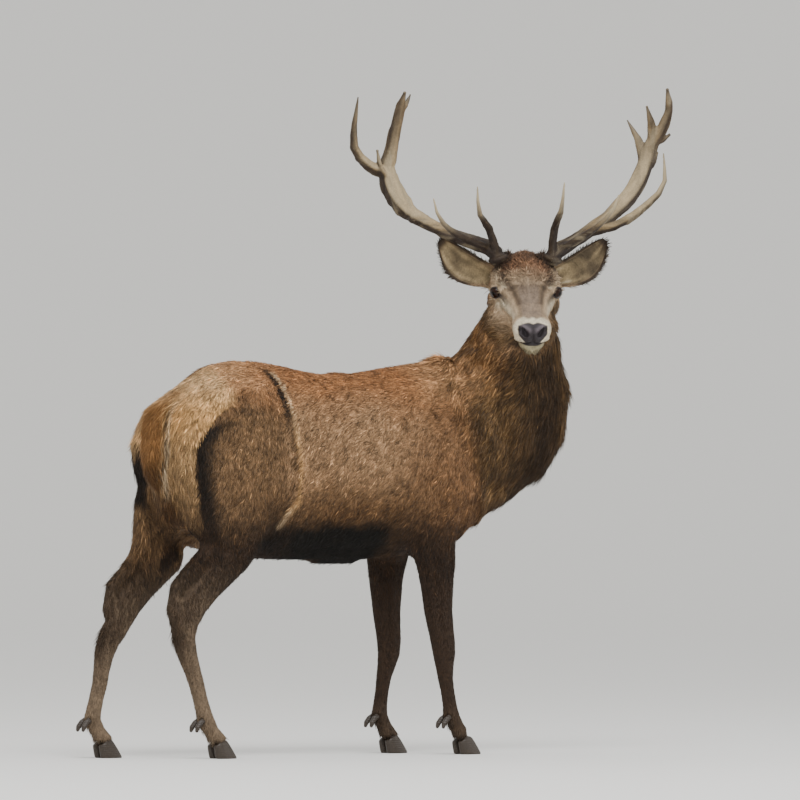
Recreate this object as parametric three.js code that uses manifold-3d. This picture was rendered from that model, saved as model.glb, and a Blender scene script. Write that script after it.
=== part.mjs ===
// A red deer stag, life size, standing square on four hooves with its head turned over its right shoulder.
// Millimetres. +X runs towards the chest, +Y to the animal's left, +Z up. The soles stand at z = 0.
// The flesh is modelled whole from lofted masses, then parted into its named regions by thin cuts.
import * as THREE from "three";
import { mergeVertices } from "three/addons/utils/BufferGeometryUtils.js";
import Module from "manifold-3d";

const wasm = await Module();
wasm.setup();

// ---------------------------------------------------------------- driving dimensions

const GAP = 0.35; // clearance left between neighbouring pieces
const HOOF_HEIGHT = 52;
const FORE_TRACK = { right: -108, left: 114 }; // where each leg's own plane lies, off the middle plane
const HIND_TRACK = { right: -122, left: 122 };
const EYE_RADIUS = 20;
const EYE = { forward: 8, aside: 96, up: 4 }; // eyeball centre, in the head's own frame
const HEAD_TURN = -115; // degrees from straight ahead, to the animal's right
const HEAD_PITCH = 24; // degrees that the muzzle points below the horizon
const HEAD_PLACE = new THREE.Vector3(640, -152, 1489); // midway between the eyes
const EAR_LENGTH = 206;
const EAR_DROOP = 24; // sag of its middle below the line from root to tip

const COAT = { hide: 0x8a6244, neck: 0x6d4a30, face: 0x937a64, leg: 0x4a3a30, tail: 0x9a5f35 };

// ---------------------------------------------------------------- solids from three.js geometry

// A closed geometry as a manifold-3d solid.
function solidOf(geometry) {
  const bare = geometry.clone();
  bare.deleteAttribute("normal");
  bare.deleteAttribute("uv");
  const merged = mergeVertices(bare, 1e-3);
  return new wasm.Manifold(
    new wasm.Mesh({
      numProp: 3,
      vertProperties: merged.attributes.position.array,
      triVerts: new Uint32Array(merged.index.array),
    }),
  );
}

// A manifold-3d solid as a geometry with one normal per face, without the slivers that cutting leaves.
function geometryOf(solid) {
  const { vertProperties, triVerts } = solid.simplify(0.1).getMesh();
  const indexed = new THREE.BufferGeometry()
    .setAttribute("position", new THREE.BufferAttribute(vertProperties, 3))
    .setIndex(new THREE.BufferAttribute(triVerts, 1));
  const flat = indexed.toNonIndexed();
  flat.computeVertexNormals();
  return flat;
}

// Closed skin over rings of equal length, which run round the path by the right hand.
function skinRings(rings) {
  const sides = rings[0].length;
  const points = rings.flat();
  const faces = [];
  for (let i = 0; i + 1 < rings.length; i++)
    for (let j = 0; j < sides; j++) {
      const a = i * sides + j;
      const b = i * sides + ((j + 1) % sides);
      faces.push(a, b, a + sides, b, b + sides, a + sides);
    }
  const middle = (ring) => ring.reduce((sum, p) => sum.add(p), new THREE.Vector3()).divideScalar(sides);
  const start = points.push(middle(rings[0])) - 1;
  const end = points.push(middle(rings.at(-1))) - 1;
  const last = (rings.length - 1) * sides;
  for (let j = 0; j < sides; j++) {
    const next = (j + 1) % sides;
    faces.push(start, next, j, end, last + j, last + next);
  }
  return new THREE.BufferGeometry().setFromPoints(points).setIndex(faces);
}

// A superellipse's cosine or sine: power 1 is an ellipse, smaller powers are squarer.
const bulge = (value, power) => Math.sign(value) * Math.abs(value) ** power;

// How far a grown shape's ring moves along its path: only its two ends move, outwards.
const endShift = (i, rings, grow) => (i === 0 ? -grow : i === rings ? grow : 0);

// A mass lofted through stations of [x, y, z, half width, extent above, extent below].
// "Above" is where the path's direction crossed with +Y points: the back of a trunk, the front of a leg.
function loft(stations, { rings = 16, sides = 16, power = 0.9, grow = 0 } = {}) {
  const path = new THREE.CatmullRomCurve3(stations.map(([x, y, z]) => new THREE.Vector3(x, y, z)));
  const sizes = new THREE.CatmullRomCurve3(stations.map(([, , , w, a, b]) => new THREE.Vector3(w, a, b)));
  const across = new THREE.Vector3(0, 1, 0);
  const made = [];
  for (let i = 0; i <= rings; i++) {
    const t = i / rings;
    const along = path.getTangent(t);
    const centre = path.getPoint(t).addScaledVector(along, endShift(i, rings, grow));
    const size = sizes.getPoint(t).addScalar(grow);
    const side = across.clone().addScaledVector(along, -across.dot(along)).normalize();
    const up = along.clone().cross(side);
    const ring = [];
    for (let j = 0; j < sides; j++) {
      const angle = (2 * Math.PI * j) / sides;
      const lift = Math.sin(angle) > 0 ? size.y : size.z;
      ring.push(
        centre
          .clone()
          .addScaledVector(side, size.x * bulge(Math.cos(angle), power))
          .addScaledVector(up, lift * bulge(Math.sin(angle), power)),
      );
    }
    made.push(ring);
  }
  return skinRings(made);
}

// A round branch through points, its radius running through the given radii.
function branch(points, radii, { rings = 3 * points.length, sides = 7, grow = 0 } = {}) {
  const path = new THREE.CatmullRomCurve3(points.map((p) => new THREE.Vector3(...p)));
  const taper = new THREE.CatmullRomCurve3(radii.map((r) => new THREE.Vector3(r, 0, 0)));
  const frames = path.computeFrenetFrames(rings, false);
  const made = [];
  for (let i = 0; i <= rings; i++) {
    const centre = path.getPointAt(i / rings).addScaledVector(frames.tangents[i], endShift(i, rings, grow));
    const radius = taper.getPoint(i / rings).x + grow;
    const ring = [];
    for (let j = 0; j < sides; j++) {
      const angle = (2 * Math.PI * j) / sides;
      ring.push(
        centre
          .clone()
          .addScaledVector(frames.normals[i], radius * Math.cos(angle))
          .addScaledVector(frames.binormals[i], radius * Math.sin(angle)),
      );
    }
    made.push(ring);
  }
  return skinRings(made);
}

// An upright prism across the body whose outline is a round-topped arch, open-ended at the ground.
function archPrism({ x, z, radius, inner, outer }, side, grow = 0) {
  const r = radius + grow;
  const arch = new THREE.Shape();
  arch.moveTo(x - r, -100);
  arch.lineTo(x + r, -100);
  arch.lineTo(x + r, z);
  arch.absarc(x, z, r, 0, Math.PI, false);
  const width = outer - inner + grow;
  const prism = new THREE.ExtrudeGeometry(arch, { depth: width, bevelEnabled: false, curveSegments: 8 });
  prism.rotateX(Math.PI / 2); // the outline's plane becomes X-Z, and the depth runs to -Y
  prism.translate(0, side > 0 ? outer : -(inner - grow), 0);
  return solidOf(prism);
}

const union = (solids) => solids.reduce((sum, s) => sum.add(s));

// The share of a solid inside a region, and what stays outside the region grown by the gap.
const part = (solid, region, grownRegion) => [solid.intersect(region), solid.subtract(grownRegion)];

// ---------------------------------------------------------------- trunk, neck and tail

// Stations along the trunk: [x, z of the widest level, half width, back above it, belly below it].
const TRUNK = [
  [-634, 1060, 56, 38, 80],
  [-620, 1058, 118, 76, 160],
  [-574, 1052, 162, 128, 240],
  [-500, 1030, 186, 222, 310],
  [-410, 1000, 192, 262, 345],
  [-300, 975, 186, 281, 350],
  [-200, 958, 180, 281, 344],
  [-100, 945, 188, 276, 330],
  [0, 938, 205, 278, 322],
  [110, 935, 214, 296, 316],
  [220, 938, 212, 310, 312],
  [330, 945, 202, 316, 303],
  [420, 955, 182, 308, 285],
  [510, 960, 150, 245, 235],
  [585, 950, 105, 150, 160],
  [625, 940, 45, 60, 70],
];

// Stations up the neck: [x, y, z, half width, towards the nape, towards the throat].
const NECK = [
  [320, 0, 940, 178, 300, 282],
  [450, 0, 1000, 182, 255, 274],
  [560, -15, 1090, 176, 200, 308],
  [622, -38, 1200, 154, 162, 262],
  [645, -65, 1312, 134, 145, 174],
  [655, -90, 1399, 120, 124, 132],
  [668, -102, 1470, 92, 96, 92],
];

// Stations down the tail: [x, y, z, half width, front, back].
const TAIL = [
  [-545, 0, 1148, 26, 20, 18],
  [-600, 0, 1126, 38, 24, 22],
  [-640, 0, 1070, 46, 26, 24],
  [-654, 0, 985, 46, 25, 24],
  [-650, 0, 905, 32, 20, 20],
  [-642, 0, 868, 9, 8, 8],
];

// ---------------------------------------------------------------- legs

// Thigh: [z, half width, front, back], on each leg's own line of x.
const THIGH = [
  [1180, 44, 100, 120],
  [1090, 84, 165, 186],
  [980, 94, 190, 232],
  [900, 99, 199, 236],
  [815, 98, 181, 212],
  [740, 86, 156, 176],
];
const THIGH_END = { right: [680, 66, 116, 122], left: [716, 70, 84, 116] };
const THIGH_LINE = {
  right: [-400, -396, -404, -409, -404, -415, -400],
  left: [-400, -396, -406, -412, -428, -472, -496],
};

// Lower hind leg: [z, half width, front, back].
const SHANK_TOP = { right: [716, 72, 100, 100], left: [742, 78, 62, 112] };
const SHANK = [
  [640, 62, 80, 84],
  [590, 52, 66, 62],
  [540, 44, 56, 60],
  [490, 39, 50, 58],
  [440, 38, 46, 48],
  [400, 37, 43, 46],
  [372, 34, 40, 42],
  [327, 29, 36, 37],
  [279, 25, 31, 31],
  [232, 23, 29, 29],
  [190, 22, 27, 28],
  [150, 24, 28, 30],
  [122, 27, 31, 34],
  [88, 25, 27, 27],
  [46, 33, 36, 33],
];
const SHANK_LINE = {
  right: [-392, -432, -474, -518, -556, -584, -594, -593, -582, -565, -549, -537, -525, -517, -497, -470],
  left: [-484, -540, -580, -622, -660, -692, -714, -733, -750, -759, -766, -777, -786, -792, -774, -750],
};

// Heel: the tendon down the back of the shank to the point of the hock, starting higher on the leg that
// is drawn back. [x from that point, z, radius].
const HEEL_TOP = {
  right: [[150, 680, 44]],
  left: [[188, 885, 56], [158, 805, 65], [142, 740, 58], [124, 680, 52]],
};
const HEEL = [
  [76, 600, 40],
  [22, 552, 36],
  [-12, 512, 28],
  [-2, 462, 26],
  [12, 410, 22],
];
const HEEL_X = { right: -630, left: -728 };
const heel = (side) => [...HEEL_TOP[side], ...HEEL];

// Foreleg: [z, half width, front, back].
const FORELEG = [
  [940, 52, 105, 110],
  [860, 66, 110, 120],
  [760, 70, 100, 112],
  [678, 70, 88, 94],
  [617, 60, 74, 78],
  [576, 54, 65, 67],
  [527, 48, 58, 60],
  [479, 44, 53, 55],
  [431, 40, 48, 49],
  [385, 38, 46, 46],
  [345, 37, 44, 43],
  [305, 33, 40, 38],
  [270, 26, 31, 33],
  [235, 23, 27, 29],
  [190, 21, 25, 27],
  [150, 23, 26, 29],
  [122, 27, 29, 33],
  [88, 25, 27, 27],
  [46, 33, 35, 32],
];
const FORELEG_LINE = {
  right: [330, 330, 322, 320, 331, 333, 336, 338, 344, 352, 358, 361, 364, 368, 377, 384, 389, 408, 432],
  left: [312, 312, 300, 284, 277, 274, 275, 275, 278, 282, 284, 280, 271, 264, 257, 252, 250, 266, 288],
};

// Stations of one leg, from a table of sizes and that leg's line of x in the plane y.
const onLine = (table, line, y) => table.map(([z, ...sizes], i) => [line[i], y, z, ...sizes]);

const LEGS = ["right", "left"].flatMap((side) => [
  {
    name: `foreleg_${side}`,
    masses: [
      loft(onLine(FORELEG, FORELEG_LINE[side], FORE_TRACK[side]), { rings: 17, sides: 8, power: 0.95 }),
    ],
    foot: [FORELEG_LINE[side].at(-1), FORE_TRACK[side]],
    fetlock: FORELEG_LINE[side].at(-3),
    region: { x: 305, z: 690, radius: 132, inner: 22, outer: 330 },
  },
  {
    name: `hindleg_${side}`,
    masses: [
      loft(onLine([SHANK_TOP[side], ...SHANK], SHANK_LINE[side], HIND_TRACK[side]), {
        rings: 15,
        sides: 8,
        power: 0.95,
      }),
      loft(onLine([...THIGH, THIGH_END[side]], THIGH_LINE[side], HIND_TRACK[side]), {
        rings: 6,
        sides: 10,
        power: 0.92,
      }),
      branch(
        heel(side).map(([x, z]) => [HEEL_X[side] + x, HIND_TRACK[side], z]),
        heel(side).map(([, , radius]) => radius),
        { rings: heel(side).length - 1, sides: 6 },
      ),
    ],
    foot: [SHANK_LINE[side].at(-1), HIND_TRACK[side]],
    fetlock: SHANK_LINE[side].at(-3),
    region: { x: -545, z: 850, radius: 340, inner: 44, outer: 360 },
  },
]);

// One toe's horn: a wall that leans back from a pointed, level sole. A foot's two toes mirror each other.
// Its levels are [z, half width, front, back].
const TOE = [
  [0, 17, 44, 30],
  [14, 18.5, 42, 30],
  [32, 18, 37, 29],
  [HOOF_HEIGHT, 16, 32, 27],
];
function toe(x, y, outward, sides = 8) {
  const lean = -0.42; // the front wall's slope back, per millimetre of height
  const rings = TOE.map(([z, width, front, back]) =>
    Array.from({ length: sides }, (_, j) => {
      const cos = bulge(Math.cos((2 * Math.PI * j) / sides), 0.95);
      const sin = bulge(Math.sin((2 * Math.PI * j) / sides), 0.95);
      const reach = cos > 0 ? front : back;
      return new THREE.Vector3(x + 10 + lean * z + reach * cos, y + outward * 20 + width * sin, z);
    }),
  );
  return solidOf(skinRings(rings));
}

// A dewclaw behind the fetlock.
function dewclaw(x, y, outward, grow = 0) {
  const points = [
    [x - 16, y + outward * 15, 122],
    [x - 36, y + outward * 18, 106],
    [x - 44, y + outward * 19, 84],
  ];
  return solidOf(branch(points, [10, 11, 5], { rings: 3, sides: 5, grow }));
}

// ---------------------------------------------------------------- head

// Stations along the head from the poll to the nose: [forward, level, half width, above, below].
const HEAD = [
  [-150, -5, 58, 52, 50],
  [-112, -5, 98, 92, 88],
  [-70, -5, 112, 110, 110],
  [-30, -5, 113, 104, 118],
  [0, -6, 106, 88, 116],
  [32, -8, 92, 66, 108],
  [66, -10, 78, 54, 100],
  [106, -14, 66, 45, 92],
  [148, -20, 59, 40, 84],
  [188, -26, 58, 38, 82],
  [222, -32, 61, 38, 80],
  [246, -38, 56, 36, 66],
  [262, -40, 40, 26, 46],
  [268, -40, 16, 10, 18],
];

const headFrame = new THREE.Matrix4()
  .makeTranslation(HEAD_PLACE)
  .multiply(new THREE.Matrix4().makeRotationZ(THREE.MathUtils.degToRad(HEAD_TURN)));
const pitchedFrame = headFrame
  .clone()
  .multiply(new THREE.Matrix4().makeRotationY(THREE.MathUtils.degToRad(HEAD_PITCH)));

const inFrame = (geometry, frame) => solidOf(geometry.applyMatrix4(frame));

// A point, or with "direction" a unit direction, of the head's own pitched frame in the body's frame.
const inPitched = (xyz, direction) => {
  const vector = new THREE.Vector3(...xyz);
  return direction ? vector.transformDirection(pitchedFrame) : vector.applyMatrix4(pitchedFrame);
};

// Ball or egg in the head's own pitched frame.
function headEgg(x, y, z, rx, ry, rz, segments = 8) {
  const egg = new THREE.SphereGeometry(1, segments, Math.round(segments * 0.66)).scale(rx, ry, rz);
  return inFrame(egg.translate(x, y, z), pitchedFrame);
}

function skull() {
  const face = loft(
    HEAD.map(([x, z, w, a, b]) => [x, 0, z, w, a, b]),
    { rings: 12, sides: 12, power: 0.92 },
  );
  const brows = [-1, 1].map((side) => headEgg(-10, side * 84, 16, 44, 30, 34));
  const cheeks = [-1, 1].map((side) => headEgg(-52, side * 75, -56, 62, 46, 54));
  const pedicles = [-1, 1].map((side) => headEgg(-54, side * 66, 82, 30, 28, 36));
  const lips = headEgg(226, 0, -78, 36, 42, 36);
  return union([inFrame(face, pitchedFrame), ...brows, ...cheeks, ...pedicles, lips]);
}

// The bare nose pad, as the block of the muzzle's tip between the nostrils.
const nosePad = (grow = 0) => headEgg(268, 0, -36, 28 + grow, 43 + grow, 34 + grow, 11);

const eyeball = (side, grow = 0) =>
  headEgg(EYE.forward, side * EYE.aside, EYE.up, ...Array(3).fill(EYE_RADIUS + grow), 9);

// An ear: a cupped leaf whose sections are crescents. Along it, share 0 is the root and 1 is the tip.
function ear(side) {
  const steps = 8;
  const arc = 6; // points across the cup
  const root = new THREE.Vector3(-84, side * 106, 14);
  const along = new THREE.Vector3(-0.34, side * 0.8, 0.49).normalize();
  const opening = new THREE.Vector3(0.91, side * 0.15, 0.41).normalize();
  const across = new THREE.Vector3().crossVectors(opening, along).multiplyScalar(side).normalize();
  const face = new THREE.Vector3().crossVectors(along, across).multiplyScalar(side);
  const rings = [];
  for (let i = 0; i <= steps; i++) {
    const s = i / steps;
    const leaf = Math.sin(Math.PI * Math.min(1, 0.16 + 0.84 * s) ** 1.15) ** 0.75;
    const halfWidth = 9 + 44 * leaf + 10 * (1 - s) ** 3;
    const depth = 26 * (1 - s) ** 0.6 + 5;
    const thickness = 9 + 16 * (1 - s) ** 4 - 3.5 * s;
    const droop = EAR_DROOP * Math.sin(Math.PI * s);
    const middle = root.clone().addScaledVector(along, s * EAR_LENGTH).addScaledVector(across, -droop);
    const rim = (turn, inset) => {
      const angle = turn * 1.25;
      return middle
        .clone()
        .addScaledVector(across, Math.sin(angle) * (halfWidth - inset))
        .addScaledVector(face, -Math.cos(angle) * (depth - inset) + depth * 0.4);
    };
    const outer = Array.from({ length: arc }, (_, j) => rim(-1 + (2 * j) / (arc - 1), 0));
    const inner = Array.from({ length: arc }, (_, j) => rim(1 - (2 * j) / (arc - 1), thickness));
    rings.push([...outer, ...inner]);
  }
  return rings;
}

// ---------------------------------------------------------------- antlers

// Points are [forward, left, up] from midway between the eyes, in the head's frame before it pitches.
// A beam is three lengths, each starting where the last one ends. A tine leaves its length at the share
// "at", bends through the middle points and ends at the last one, thinning from its root radius.
const BURR_RADIUS = 34;
const TIP_RADIUS = 2.5;
const ANTLERS = {
  right: {
    beam_lower: {
      points: [
        [-15, -80, 90], [-10, -90, 120], [-30, -125, 145],
        [-55, -180, 165], [-80, -245, 190], [-110, -360, 250],
      ],
      radii: [24, 27, 23, 22, 22, 27],
    },
    beam_upper: {
      points: [
        [-110, -360, 250], [-125, -390, 285], [-135, -415, 325],
        [-145, -430, 365], [-145, -440, 405],
      ],
      radii: [27, 35, 38, 35, 28],
    },
    crown: {
      points: [
        [-145, -440, 405], [-140, -425, 450], [-125, -415, 510],
        [-110, -405, 555], [-90, -400, 590], [-50, -385, 650],
      ],
      radii: [28, 23, 21, 20, 15, TIP_RADIUS],
    },
    crown_fork: { of: "crown", at: 0.78, through: [[-90, -385, 600], [-90, -365, 640]], root: 12 },
    crown_prong: {
      of: "beam_upper",
      at: 0.72,
      through: [[-105, -460, 400], [-80, -475, 465]],
      root: 14,
    },
    brow_tine: {
      of: "beam_lower",
      at: 0.12,
      through: [[40, -125, 205], [140, -165, 250], [190, -175, 330]],
      root: 16,
    },
    bez_tine: {
      of: "beam_lower",
      at: 0.3,
      through: [[50, -250, 195], [105, -300, 255], [120, -310, 295]],
      root: 15,
    },
    trez_tine: {
      of: "beam_upper",
      at: 0.85,
      through: [[-90, -510, 415], [-55, -545, 450], [-25, -555, 500], [35, -545, 625]],
      root: 21,
    },
  },
  left: {
    beam_lower: {
      points: [
        [-15, 80, 90], [-10, 90, 120], [-30, 130, 145],
        [-50, 180, 175], [-70, 230, 210], [-90, 280, 245],
      ],
      radii: [24, 27, 23, 22, 22, 24],
    },
    beam_upper: {
      points: [
        [-90, 280, 245], [-120, 350, 315], [-135, 380, 360],
        [-140, 400, 405], [-145, 415, 460],
      ],
      radii: [24, 29, 29, 28, 27],
    },
    crown: {
      points: [
        [-145, 415, 460], [-135, 430, 495], [-120, 450, 520],
        [-100, 465, 555], [-80, 475, 590], [-45, 465, 665],
      ],
      radii: [27, 23, 19, 15, 12, TIP_RADIUS],
    },
    crown_front: { of: "crown", at: 0.12, through: [[-115, 425, 530], [-70, 400, 610]], root: 18 },
    crown_back: { of: "beam_upper", at: 0.78, through: [[-160, 390, 485], [-175, 350, 565]], root: 19 },
    crown_spur: { of: "crown", at: 0.18, through: [[-130, 455, 495], [-135, 490, 520]], root: 14 },
    crown_prong: { of: "beam_upper", at: 0.7, through: [[-150, 430, 420], [-160, 450, 465]], root: 15 },
    brow_tine: {
      of: "beam_lower",
      at: 0.1,
      through: [[40, 90, 210], [140, 100, 255], [190, 105, 345]],
      root: 16,
    },
    bez_tine: {
      of: "beam_lower",
      at: 0.28,
      through: [[50, 230, 210], [100, 280, 275], [115, 290, 310]],
      root: 15,
    },
    trez_tine: {
      of: "beam_lower",
      at: 0.7,
      through: [[-20, 305, 220], [35, 395, 285], [65, 440, 340], [90, 440, 400], [100, 435, 445]],
      root: 18,
    },
  },
};

// The route of an antler's piece and the radius along it.
function antlerStem(pieces, { points, radii, of, at, through, root }) {
  if (points) return { points, radii };
  const parent = new THREE.CatmullRomCurve3(pieces[of].points.map((p) => new THREE.Vector3(...p)));
  const route = [parent.getPoint(at).toArray(), ...through];
  const taper = route.map((_, i) => TIP_RADIUS + (root - TIP_RADIUS) * (1 - (i / through.length) ** 2));
  return { points: route, radii: taper };
}

// A burr: the rough ring of bone round an antler's foot.
function burr([foot, above], grow) {
  const [low, high] = [foot, above].map((p) => new THREE.Vector3(...p));
  const along = high.clone().sub(low).normalize();
  const ring = [-10, -4, 4, 10].map((step) => high.clone().addScaledVector(along, step - 14).toArray());
  const radii = [0.72, 1, 1, 0.72].map((share) => share * BURR_RADIUS + grow);
  return inFrame(branch(ring, radii, { rings: 3, sides: 8 }), headFrame);
}

// Each antler's pieces. A later piece stops short of the earlier ones.
function antler(side) {
  const made = [];
  let before = null;
  for (const [name, spec] of Object.entries(ANTLERS[side])) {
    const { points, radii } = antlerStem(ANTLERS[side], spec);
    const rings = Math.round(1.3 * points.length) + 1;
    const shape = (grow) => {
      const stem = inFrame(branch(points, radii, { grow, rings, sides: spec.points ? 7 : 5 }), headFrame);
      return name === "beam_lower" ? stem.add(burr(points, grow)) : stem;
    };
    const whole = shape(0);
    made.push({ name: `antler_${side}_${name}`, solid: largest(before ? whole.subtract(before) : whole) });
    before = before ? before.add(shape(GAP)) : shape(GAP);
  }
  return { made, grown: before };
}

// The largest separate body of a solid, without the slivers that a cut can leave.
function largest(solid) {
  return solid.decompose().reduce((best, s) => (s.volume() > best.volume() ? s : best));
}

// ---------------------------------------------------------------- assembly

const group = new THREE.Group();
const bone = new THREE.MeshStandardMaterial({ color: 0x8c7452, roughness: 0.55, metalness: 0 });
const horn = new THREE.MeshStandardMaterial({ color: 0x2b2622, roughness: 0.5, metalness: 0 });
const coat = (color) => new THREE.MeshStandardMaterial({ color, roughness: 0.9, metalness: 0 });

function add(name, solid, material) {
  const mesh = new THREE.Mesh(geometryOf(solid), material);
  mesh.name = name;
  group.add(mesh);
}

const trunkMass = solidOf(
  loft(TRUNK.map(([x, z, w, a, b]) => [x, 0, z, w, a, b]), { rings: 16, sides: 14, power: 0.9 }),
);
const neckMass = solidOf(loft(NECK, { rings: 9, sides: 14, power: 0.95 }));
const legMasses = LEGS.flatMap(({ masses }) => masses.map(solidOf));
const underfoot = solidOf(new THREE.BoxGeometry(4000, 4000, 400).translate(0, 0, HOOF_HEIGHT + GAP - 200));

const antlers = ["right", "left"].map(antler);
const tailSolid = (grow) => solidOf(loft(TAIL, { rings: 7, sides: 10, grow }));
const earRings = (side) => (side > 0 ? ear(side) : ear(side).map((ring) => [...ring].reverse()));
const earSolid = (side) => inFrame(skinRings(earRings(side)), pitchedFrame);
const ears = [-1, 1].map((side) => ({ name: side > 0 ? "ear_left" : "ear_right", solid: earSolid(side) }));

let flesh = union([trunkMass, neckMass, skull(), ...legMasses]).subtract(underfoot);
for (const { grown } of antlers) flesh = flesh.subtract(grown);
flesh = flesh.subtract(tailSolid(GAP));
for (const side of [-1, 1]) flesh = flesh.subtract(eyeball(side, GAP));

const claws = LEGS.flatMap(({ name, foot, fetlock }) =>
  [-1, 1].map((outward) => ({
    name,
    label: outward * foot[1] > 0 ? "outer" : "inner",
    foot,
    fetlock: [fetlock, foot[1]],
    outward,
  })),
);
for (const { fetlock, outward } of claws) flesh = flesh.subtract(dewclaw(...fetlock, outward, GAP));

// Parting: the nose pad, each leg, then the neck and head by two slanted planes.
const [nose, behindNose] = part(flesh, nosePad(), nosePad(GAP));
flesh = behindNose;
const parted = [];
for (const { name, region, foot } of LEGS) {
  const side = Math.sign(foot[1]);
  const [leg, rest] = part(flesh, archPrism(region, side), archPrism(region, side, GAP));
  parted.push({ name, solid: largest(leg), material: coat(COAT.leg) });
  flesh = rest;
}

// A slab ahead of a plane through a point, facing along a direction.
function ahead(point, direction, shift) {
  const slab = new THREE.BoxGeometry(3000, 3000, 3000).translate(0, 0, 1500 + shift);
  const turn = new THREE.Quaternion().setFromUnitVectors(new THREE.Vector3(0, 0, 1), direction.normalize());
  return solidOf(slab.applyQuaternion(turn).translate(point.x, point.y, point.z));
}
const neckCut = [new THREE.Vector3(430, 0, 1000), new THREE.Vector3(0.9, -0.05, 0.43)];
const crown = [inPitched([0, 0, 4], 0), inPitched([0, 0, 1], 1)];
const headSpace = (grow) =>
  headEgg(58, 0, -28, 236 + grow, 170 + grow, 128 + grow, 10).add(ahead(...crown, -grow));
const [aheadOfTrunk, trunk] = part(flesh, ahead(...neckCut, GAP), ahead(...neckCut, 0));
const [head, neck] = part(aheadOfTrunk, headSpace(0), headSpace(GAP));

add("trunk", largest(trunk), coat(COAT.hide));
add("neck", largest(neck), coat(COAT.neck));
let headSolid = largest(head);
const skullInside = headSolid;
for (const { name, solid } of ears) {
  const clear = antlers.reduce((rest, { grown }) => rest.subtract(grown), solid.subtract(skullInside));
  headSolid = largest(headSolid.subtract(solid));
  add(name, largest(clear), coat(COAT.face));
}
add("head", headSolid, coat(COAT.face));
const damp = new THREE.MeshStandardMaterial({ color: 0x1d191b, roughness: 0.35, metalness: 0 });
add("nose", largest(nose), damp);
add("tail", tailSolid(0), coat(COAT.tail));
for (const { name, solid, material } of parted) add(name, solid, material);
for (const side of [-1, 1])
  add(
    side > 0 ? "eye_left" : "eye_right",
    eyeball(side),
    new THREE.MeshStandardMaterial({ color: 0x140d0a, roughness: 0.08, metalness: 0 }),
  );
for (const { name, label, foot, fetlock, outward } of claws) {
  add(`hoof_${name}_${label}`, toe(...foot, outward), horn);
  add(`dewclaw_${name}_${label}`, dewclaw(...fetlock, outward), horn);
}
for (const { made } of antlers) for (const { name, solid } of made) add(name, solid, bone);

// The part's origin is on the floor, under the middle of its whole box.
const box = new THREE.Box3().setFromObject(group);
const centre = box.getCenter(new THREE.Vector3());
group.position.set(-centre.x, -centre.y, -box.min.z);

export default group;
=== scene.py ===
"""Red deer stag, standing, head turned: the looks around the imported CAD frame.

Lengths are metres in the model's own frame: +X is where the body faces, +Y its left, +Z up.
"""

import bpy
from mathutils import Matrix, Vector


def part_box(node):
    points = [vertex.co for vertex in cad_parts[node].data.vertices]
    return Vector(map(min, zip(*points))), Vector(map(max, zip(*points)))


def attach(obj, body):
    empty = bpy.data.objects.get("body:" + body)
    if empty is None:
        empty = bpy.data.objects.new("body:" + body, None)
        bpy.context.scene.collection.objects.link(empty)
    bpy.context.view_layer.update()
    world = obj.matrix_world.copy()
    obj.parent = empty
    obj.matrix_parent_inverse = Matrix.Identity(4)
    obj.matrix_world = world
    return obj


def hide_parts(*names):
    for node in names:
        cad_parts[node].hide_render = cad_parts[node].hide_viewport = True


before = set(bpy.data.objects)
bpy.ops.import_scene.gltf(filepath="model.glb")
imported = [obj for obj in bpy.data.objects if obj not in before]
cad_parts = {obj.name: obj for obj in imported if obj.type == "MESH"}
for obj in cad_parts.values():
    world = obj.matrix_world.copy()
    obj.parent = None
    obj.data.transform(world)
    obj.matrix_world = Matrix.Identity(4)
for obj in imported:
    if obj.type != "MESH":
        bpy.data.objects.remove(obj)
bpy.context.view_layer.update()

import math
from types import SimpleNamespace

import bmesh
import bpy
import numpy as np
from mathutils import Vector
from mathutils.bvhtree import BVHTree

bl_info = {
    "name": "Red deer stag",
    "version": (1, 0, 0),
    "blender": (4, 5, 0),
    "location": "View3D > Sidebar > Stag",
    "description": "Builds the skin, coat, antlers, eyes and hooves of a standing red deer stag",
    "category": "Add Mesh",
}


# ---------------------------------------------------------------- places taken from the frame

FLESH = ["trunk", "neck", "head", "nose", "tail", "ear_right", "ear_left",
         "foreleg_right", "foreleg_left", "hindleg_right", "hindleg_left"]
BOX = {n: np.array([list(c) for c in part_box(n)]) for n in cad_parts}


def middle(node):
    """The middle of a CAD node's box."""
    return BOX[node].mean(0)


def spot(node, along, aside, up):
    """A point at these fractions of a CAD node's box."""
    return BOX[node][0] + np.array([along, aside, up]) * (BOX[node][1] - BOX[node][0])


def unit(v):
    """Vectors scaled to length one."""
    v = np.asarray(v, float)
    return v / np.maximum(np.linalg.norm(v, axis=-1, keepdims=True), 1e-12)


UP = np.array([0.0, 0.0, 1.0])
HEAD_PITCH = math.radians(24)  # how far the face looks down
EYES = {"right": middle("eye_right"), "left": middle("eye_left")}
HEAD = (EYES["right"] + EYES["left"]) / 2
HEAD_LEFT = unit(EYES["left"] - EYES["right"])
LEVEL_AHEAD = unit(np.cross(HEAD_LEFT, UP))
HEAD_AHEAD = math.cos(HEAD_PITCH) * LEVEL_AHEAD - math.sin(HEAD_PITCH) * UP
HEAD_UP = np.cross(HEAD_AHEAD, HEAD_LEFT)
HEAD_AXES = np.array([HEAD_AHEAD, HEAD_LEFT, HEAD_UP])


def to_head(points):
    """Places measured from between the eyes, in metres ahead, to the stag's left, and up its face."""
    return (np.asarray(points, float) - HEAD) @ HEAD_AXES.T


def from_head(places):
    """The way back from to_head."""
    return np.asarray(places, float) @ HEAD_AXES + HEAD


# ---------------------------------------------------------------- sizes and colours a user may change

def length(label, text, value, top=1.0):
    """A size in metres."""
    return bpy.props.FloatProperty(name=label, description=text, default=value, min=0, max=top,
                                   precision=4, subtype="DISTANCE", unit="LENGTH")


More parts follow.
